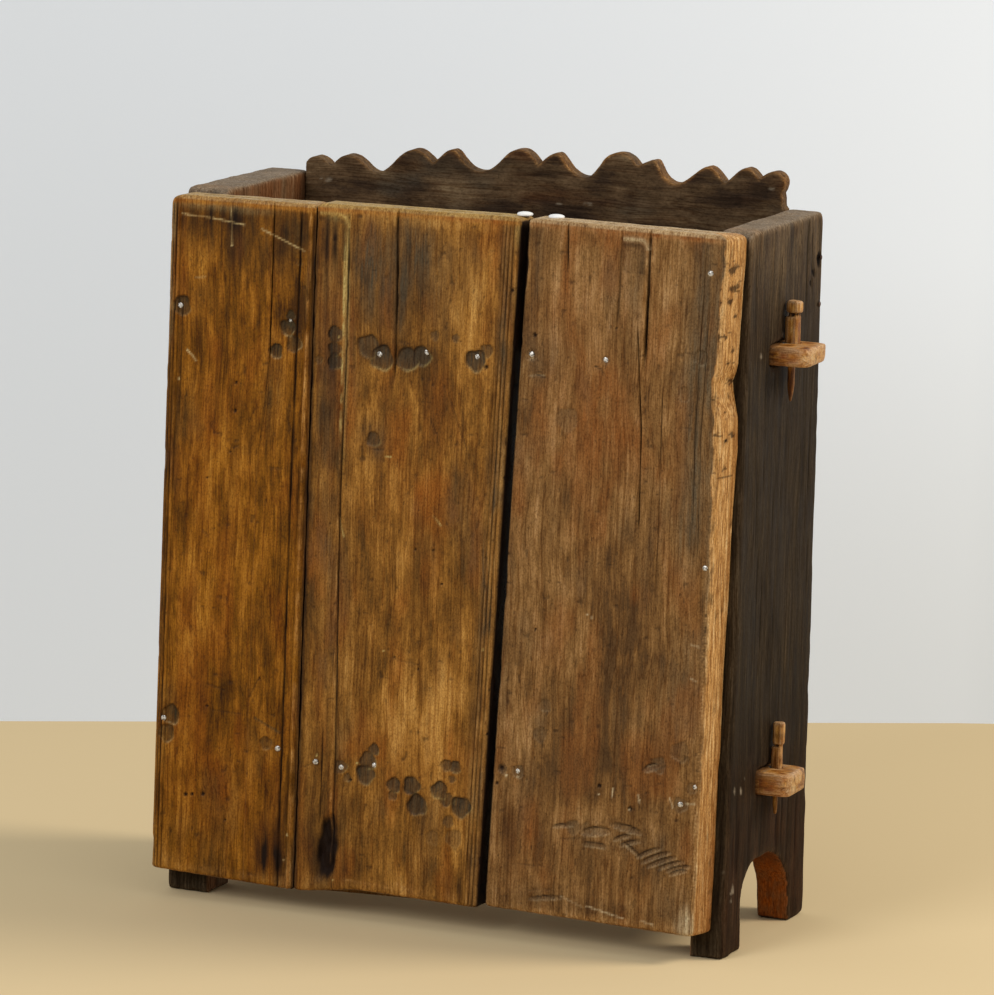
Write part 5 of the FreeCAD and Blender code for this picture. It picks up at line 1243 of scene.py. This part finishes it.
brightSteel = {  # drawn wire nails, heads hammered bright and tarnished in spots
    "name": "worn_steel", "colours": ("#575048", "#d4d0c8"), "stops": (0.38, 0.56), "metal": 0.70,
    "roughness": (0.38, 0.66), "blotch": 1.8, "bump": 0.10,
}
rustedIron = {  # forged nails scaled with rust: dull, red-brown, rough
    "name": "rusted_iron", "colours": ("#2a1a12", "#5a3f2c"), "stops": (0.38, 0.62), "metal": 0.35,
    "roughness": (0.65, 0.90), "blotch": 1.6, "bump": 0.20,
}
mouldedPlastic = {  # pressed in a mould: white, satin, faintly uneven
    "name": "moulded_polythene", "colours": ("#e9e9e4", "#f6f6f3"), "stops": (0.30, 0.70), "metal": 0.0,
    "roughness": (0.34, 0.46), "blotch": 5.0, "bump": 0.03,
}


def blotchedMaterial(facts):
    # spots of tarnish, rust or uneven gloss, duller where the surface is low
    material = bpy.data.materials.new(facts["name"])
    tree = emptyTree(material)
    smoothest, roughest = facts["roughness"]
    place = addNode(tree, "ShaderNodeTexCoord").outputs["Object"]
    blotch = addNode(tree, "ShaderNodeTexNoise", {"Scale": 1 / (facts["blotch"] * mm), "Detail": 3.0},
                     {"Vector": place}).outputs["Fac"]
    colour = setRamp(addNode(tree, "ShaderNodeValToRGB", {}, {"Fac": blotch}),
                     zip(facts["stops"], facts["colours"]))
    rough = addNode(tree, "ShaderNodeMapRange", {1: 0.35, 2: 0.65, 3: roughest, 4: smoothest},
                    {0: blotch})
    bump = addNode(tree, "ShaderNodeBump", {"Strength": 1.0, "Distance": facts["bump"] * mm},
                   {"Height": blotch})
    surface = addNode(tree, "ShaderNodeBsdfPrincipled", {"Metallic": facts["metal"]},
                      {"Base Color": colour, "Roughness": rough.outputs[0], "Normal": bump.outputs[0]})
    addNode(tree, "ShaderNodeOutputMaterial", {}, {"Surface": surface.outputs[0]})
    return material


for facts in (brightSteel, rustedIron, mouldedPlastic):
    materials[facts["name"]] = blotchedMaterial(facts)


def turned(profile, sides, origin, axes, wobble, seed):
    # a lathe shape: profile is (radius, depth) from the outer end, and axes are across, up and inward
    points = []
    for radius, depth in profile:
        for angle in (2 * math.pi * k / sides for k in range(sides if radius else 1)):
            points.append([radius * math.cos(angle), radius * math.sin(angle), depth])
    points = np.array(points)
    points[:, :2] *= 1 + wobble * noiseAt(points, (2.5, 2.5, 2.5), seed)[:, None]
    points[:, 2] += wobble * 1.2 * noiseAt(points, (2.0, 2.0, 9.0), seed + 1) * (points[:, 2] < 2)
    turn = [(k, (k + 1) % sides) for k in range(sides)]
    faces = [[0, 1 + nextK, 1 + k] for k, nextK in turn]
    last = 1 + (len(profile) - 3) * sides  # where the last ring begins
    for start in range(1, last, sides):
        above = start + sides
        faces += [[start + k, start + nextK, above + nextK, above + k] for k, nextK in turn]
    faces += [[last + k, last + nextK, len(points) - 1] for k, nextK in turn]
    across, up, inward = np.array(axes, float)
    return origin + points[:, :1] * across + points[:, 1:2] * up + points[:, 2:] * inward, faces


def buildTurned(name, shapes, material, node):
    points, faces = [], []
    for shapePoints, shapeFaces in shapes:
        base = sum(len(p) for p in points)
        points.append(shapePoints)
        faces += [[base + i for i in face] for face in shapeFaces]
    mesh = bpy.data.meshes.new(name)
    mesh.from_pydata((np.concatenate(points) * mm).tolist(), [], faces)
    mesh.validate()
    finishPiece(name, mesh, "cupboard", material, node)


nail = {
    "sides": 18, "wobble": 0.12, "seed": 500,
    "profile": ((0, -0.70), (1.0, -0.68), (1.9, -0.58), (2.8, -0.36), (3.3, 0.05), (3.1, 0.6), (1.9, 0.9),
                (1.7, 60.0), (0.9, 69.0), (0, 70.5)),
    "boards": {  # across, height, how far the head is driven in
        "nails_left_board": ((-331, 688, 1.6), (-193, 683, 2.0), (-338, 209, 0.4), (-192, 189, 0.0)),
        "nails_middle_board": ((-81, 653, 1.6), (-23, 660, 1.4), (38, 660, 2.2), (-144, 179, 0.0),
                               (-112, 176, 0.8), (-71, 183, 1.4)),
        "nails_right_board": ((104.5, 669, 0.5), (193.5, 670, 0.3), (105.5, 196, 1.2), (303, 180.5, 0.8),
                              (313.5, 776, 0.4), (321, 449, 0.0), (319.5, 202, 1.0)),
    },
}
driveAxes = ((1, 0, 0), (0, -math.sin(lean), -math.cos(lean)), (0, math.cos(lean), -math.sin(lean)))
for node, places in nail["boards"].items():
    shapes = []
    for number, (across, height, driven) in enumerate(places):
        tall = plank["thick"] - driven
        origin = np.array([across, plank["rear"] - tall * math.cos(lean) + height * math.sin(lean),
                           tall * math.sin(lean) + height * math.cos(lean)])
        shapes.append(turned(nail["profile"], nail["sides"], origin, driveAxes, nail["wobble"],
                             nail["seed"] + number))
    buildTurned(node + "_hammered", shapes, "worn_steel", node)

crestNail = {"headRadius": 3.2, "sunk": 0.2, "wobble": 0.22, "seed": 540}
for node, sign in (("crest_nails_right", 1), ("crest_nails_left", -1)):
    low, high = (np.array(corner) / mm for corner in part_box(node))
    outerX = (high[0] if sign > 0 else low[0]) - sign * crestNail["sunk"]
    shapes = []
    for number, z in enumerate((low[2] + crestNail["headRadius"], high[2] - crestNail["headRadius"])):
        origin = np.array([outerX, (low[1] + high[1]) / 2, z])
        axes = ((0, sign, 0), (0, 0, -1), (-sign, 0, 0))
        shapes.append(turned(nail["profile"], nail["sides"], origin, axes, crestNail["wobble"],
                             crestNail["seed"] + number))
    buildTurned(node + "_hammered", shapes, "rusted_iron", node)

pad = {"sides": 40, "rise": 3.6, "rim": 1.1, "wobble": 0.006, "seed": 560,
       "foot": ((1.0, -0.9), (0.99, -0.2), (0.95, 0.5), (0, 0.6))}  # share of the radius, depth
for number, node in enumerate(("edge_pad_left", "edge_pad_right")):
    low, high = (np.array(corner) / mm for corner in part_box(node))
    radius = (high[0] - low[0]) / 2
    profile = [(0, -pad["rise"])]
    for t in np.radians(np.linspace(82, 8, 9)):
        profile.append((radius * math.cos(t), -pad["rim"] - (pad["rise"] - pad["rim"]) * math.sin(t)))
    profile += [(radius * share, depth) for share, depth in pad["foot"]]
    origin = np.array([(low[0] + high[0]) / 2, (low[1] + high[1]) / 2, low[2]])
    shape = turned(profile, pad["sides"], origin, ((1, 0, 0), (0, 1, 0), (0, 0, -1)), pad["wobble"],
                   pad["seed"] + number)
    buildTurned(node + "_domed", [shape], "moulded_polythene", node)
print("nails and pads ready")


# Floor, backdrop, light and camera; metres from here on

stage = {
    "middle": (0.05, -0.09), "turn": math.radians(29.9), "cornerSteps": 12,
    "floor": {"half": 14.0, "corner": 2.0, "heights": (0.0,), "colour": "#dcc69a"},
    "wall": {"half": 1.095, "corner": 0.34, "heights": (0.0, 2.8), "colour": "#d2d9e0"},
    "glow": {"ends": {1: -0.5, 2: 0.9, 3: 0.0, 4: 1.0}, "colours": ("#757d83", "#b9bfc4"),
             "strength": 0.42},
}


def stageMaterial(name, hexColour, glow=None):
    # matt paint: no gloss, so that the floor gives only an even tone; the wall adds a painted glow and
    # shows only its inner side
    material = bpy.data.materials.new(name)
    tree = emptyTree(material)
    surface = addNode(tree, "ShaderNodeBsdfDiffuse", {"Color": linear(hexColour)}).outputs[0]
    if glow:
        # painted light: a glow that is brighter to the right, as by a window on that side
        place = addNode(tree, "ShaderNodeNewGeometry")
        rightward = (math.cos(stage["turn"]), math.sin(stage["turn"]), 0)
        across = addNode(tree, "ShaderNodeVectorMath", {"operation": "DOT_PRODUCT", 1: rightward},
                         {0: place.outputs["Position"]}).outputs["Value"]
        share = addNode(tree, "ShaderNodeMapRange", glow["ends"], {0: across})
        shade = setRamp(addNode(tree, "ShaderNodeValToRGB", {}, {"Fac": share.outputs[0]}),
                        enumerate(glow["colours"]))
        light = addNode(tree, "ShaderNodeEmission", {"Strength": glow["strength"]}, {"Color": shade})
        surface = addNode(tree, "ShaderNodeAddShader", {}, {0: surface, 1: light.outputs[0]}).outputs[0]
        clear = addNode(tree, "ShaderNodeBsdfTransparent").outputs[0]
        surface = addNode(tree, "ShaderNodeMixShader", {},
                          {0: place.outputs["Backfacing"], 1: surface, 2: clear}).outputs[0]
    addNode(tree, "ShaderNodeOutputMaterial", {}, {"Surface": surface})
    return material


def roundedSquare(half, corner):
    # plan of a square room with rounded corners, turned so that one wall stands behind the cupboard
    turn, (middleX, middleY) = stage["turn"], stage["middle"]
    plan = []
    for quarter in range(4):
        for t in np.linspace(0, 90, stage["cornerSteps"]):
            angle, diagonal = math.radians(t + 90 * quarter), math.radians(45 + 90 * quarter)
            x = math.copysign(half - corner, math.cos(diagonal)) + corner * math.cos(angle)
            y = math.copysign(half - corner, math.sin(diagonal)) + corner * math.sin(angle)
            plan.append((middleX + x * math.cos(turn) - y * math.sin(turn),
                         middleY + x * math.sin(turn) + y * math.cos(turn)))
    return plan


def buildStage(name, facts, material):
    # a sheet on the ground, or a wall round it with its normals inwards
    plan = roundedSquare(facts["half"], facts["corner"])
    points = [(x, y, z) for z in facts["heights"] for x, y in plan]
    faces = [list(range(len(plan)))]
    if len(facts["heights"]) > 1:
        nextOnes = [(k + 1) % len(plan) for k in range(len(plan))]
        faces = [[len(plan) + k, len(plan) + nextK, nextK, k] for k, nextK in enumerate(nextOnes)]
    mesh = bpy.data.meshes.new(name)
    mesh.from_pydata(points, [], faces)
    mesh.materials.append(material)
    mesh.polygons.foreach_set("use_smooth", [True] * len(mesh.polygons))
    piece = bpy.data.objects.new(name, mesh)
    bpy.context.scene.collection.objects.link(piece)
    return piece


buildStage("floor", stage["floor"], stageMaterial("pale_floor_paint", stage["floor"]["colour"]))
wallWithPaintedGlow = stageMaterial("pale_wall_with_painted_glow", stage["wall"]["colour"], stage["glow"])
wall = buildStage("wall", stage["wall"], wallWithPaintedGlow)
wall.visible_shadow = False
wall.visible_diffuse = False


lamps = {
    "keyLight": {"place": (3.0, 1.1, 2.9), "size": 1.5, "watts": 95, "colour": "#fff4e6"},
    "fillLight": {"place": (-1.4, -4.4, 2.9), "size": 2.6, "watts": 120, "colour": "#f7f8ff"},
}
aim = Vector((0.0, 0.0, 0.45))
for name, facts in lamps.items():
    light = bpy.data.lights.new(name, "AREA")
    light.shape = "DISK"
    light.size = facts["size"]
    light.energy = facts["watts"]
    light.color = linear(facts["colour"])[:3]
    lamp = bpy.data.objects.new(name, light)
    lamp.location = facts["place"]
    lamp.rotation_euler = (aim - Vector(facts["place"])).to_track_quat("-Z", "Y").to_euler()
    bpy.context.scene.collection.objects.link(lamp)

studio = {"ambient": "#f4f6fa", "ambientStrength": 0.55, "shown": "#e4e4e1"}
world = bpy.data.worlds.new("studio")
tree = emptyTree(world)
rays = addNode(tree, "ShaderNodeLightPath")
seen = rays.outputs["Is Camera Ray"]
for ray in ("Is Glossy Ray", "Is Transmission Ray"):
    seen = addNode(tree, "ShaderNodeMath", {"operation": "MAXIMUM"},
                   {0: seen, 1: rays.outputs[ray]}).outputs[0]
ambient = addNode(tree, "ShaderNodeBackground",
                  {"Color": linear(studio["ambient"]), "Strength": studio["ambientStrength"]})
shown = addNode(tree, "ShaderNodeBackground", {"Color": linear(studio["shown"]), "Strength": 1.0})
sky = addNode(tree, "ShaderNodeMixShader", {}, {0: seen, 1: ambient.outputs[0], 2: shown.outputs[0]})
addNode(tree, "ShaderNodeOutputWorld", {}, {"Surface": sky.outputs[0]})
bpy.context.scene.world = world

view = {"place": (2.7314, -6.4138, 1.7110), "azimuth": 22.995, "elevation": 10.035, "roll": 1.578,
        "lens": 224.0, "sensor": 36.0}
azimuth, elevation, roll = (math.radians(view[name]) for name in ("azimuth", "elevation", "roll"))
back = Vector((math.sin(azimuth) * math.cos(elevation), -math.cos(azimuth) * math.cos(elevation),
               math.sin(elevation)))
right = Vector((math.cos(azimuth), math.sin(azimuth), 0.0))
up = back.cross(right)
rolled = Matrix((right * math.cos(roll) + up * math.sin(roll),
                 up * math.cos(roll) - right * math.sin(roll), back))
camera = bpy.data.objects.new("camera", bpy.data.cameras.new("camera"))
camera.data.lens = view["lens"]
camera.data.sensor_width = view["sensor"]
camera.matrix_world = Matrix.Translation(view["place"]) @ rolled.transposed().to_4x4()
bpy.context.scene.collection.objects.link(camera)
bpy.context.scene.camera = camera
bpy.context.scene.view_settings.view_transform = "Standard"
print("stage ready")
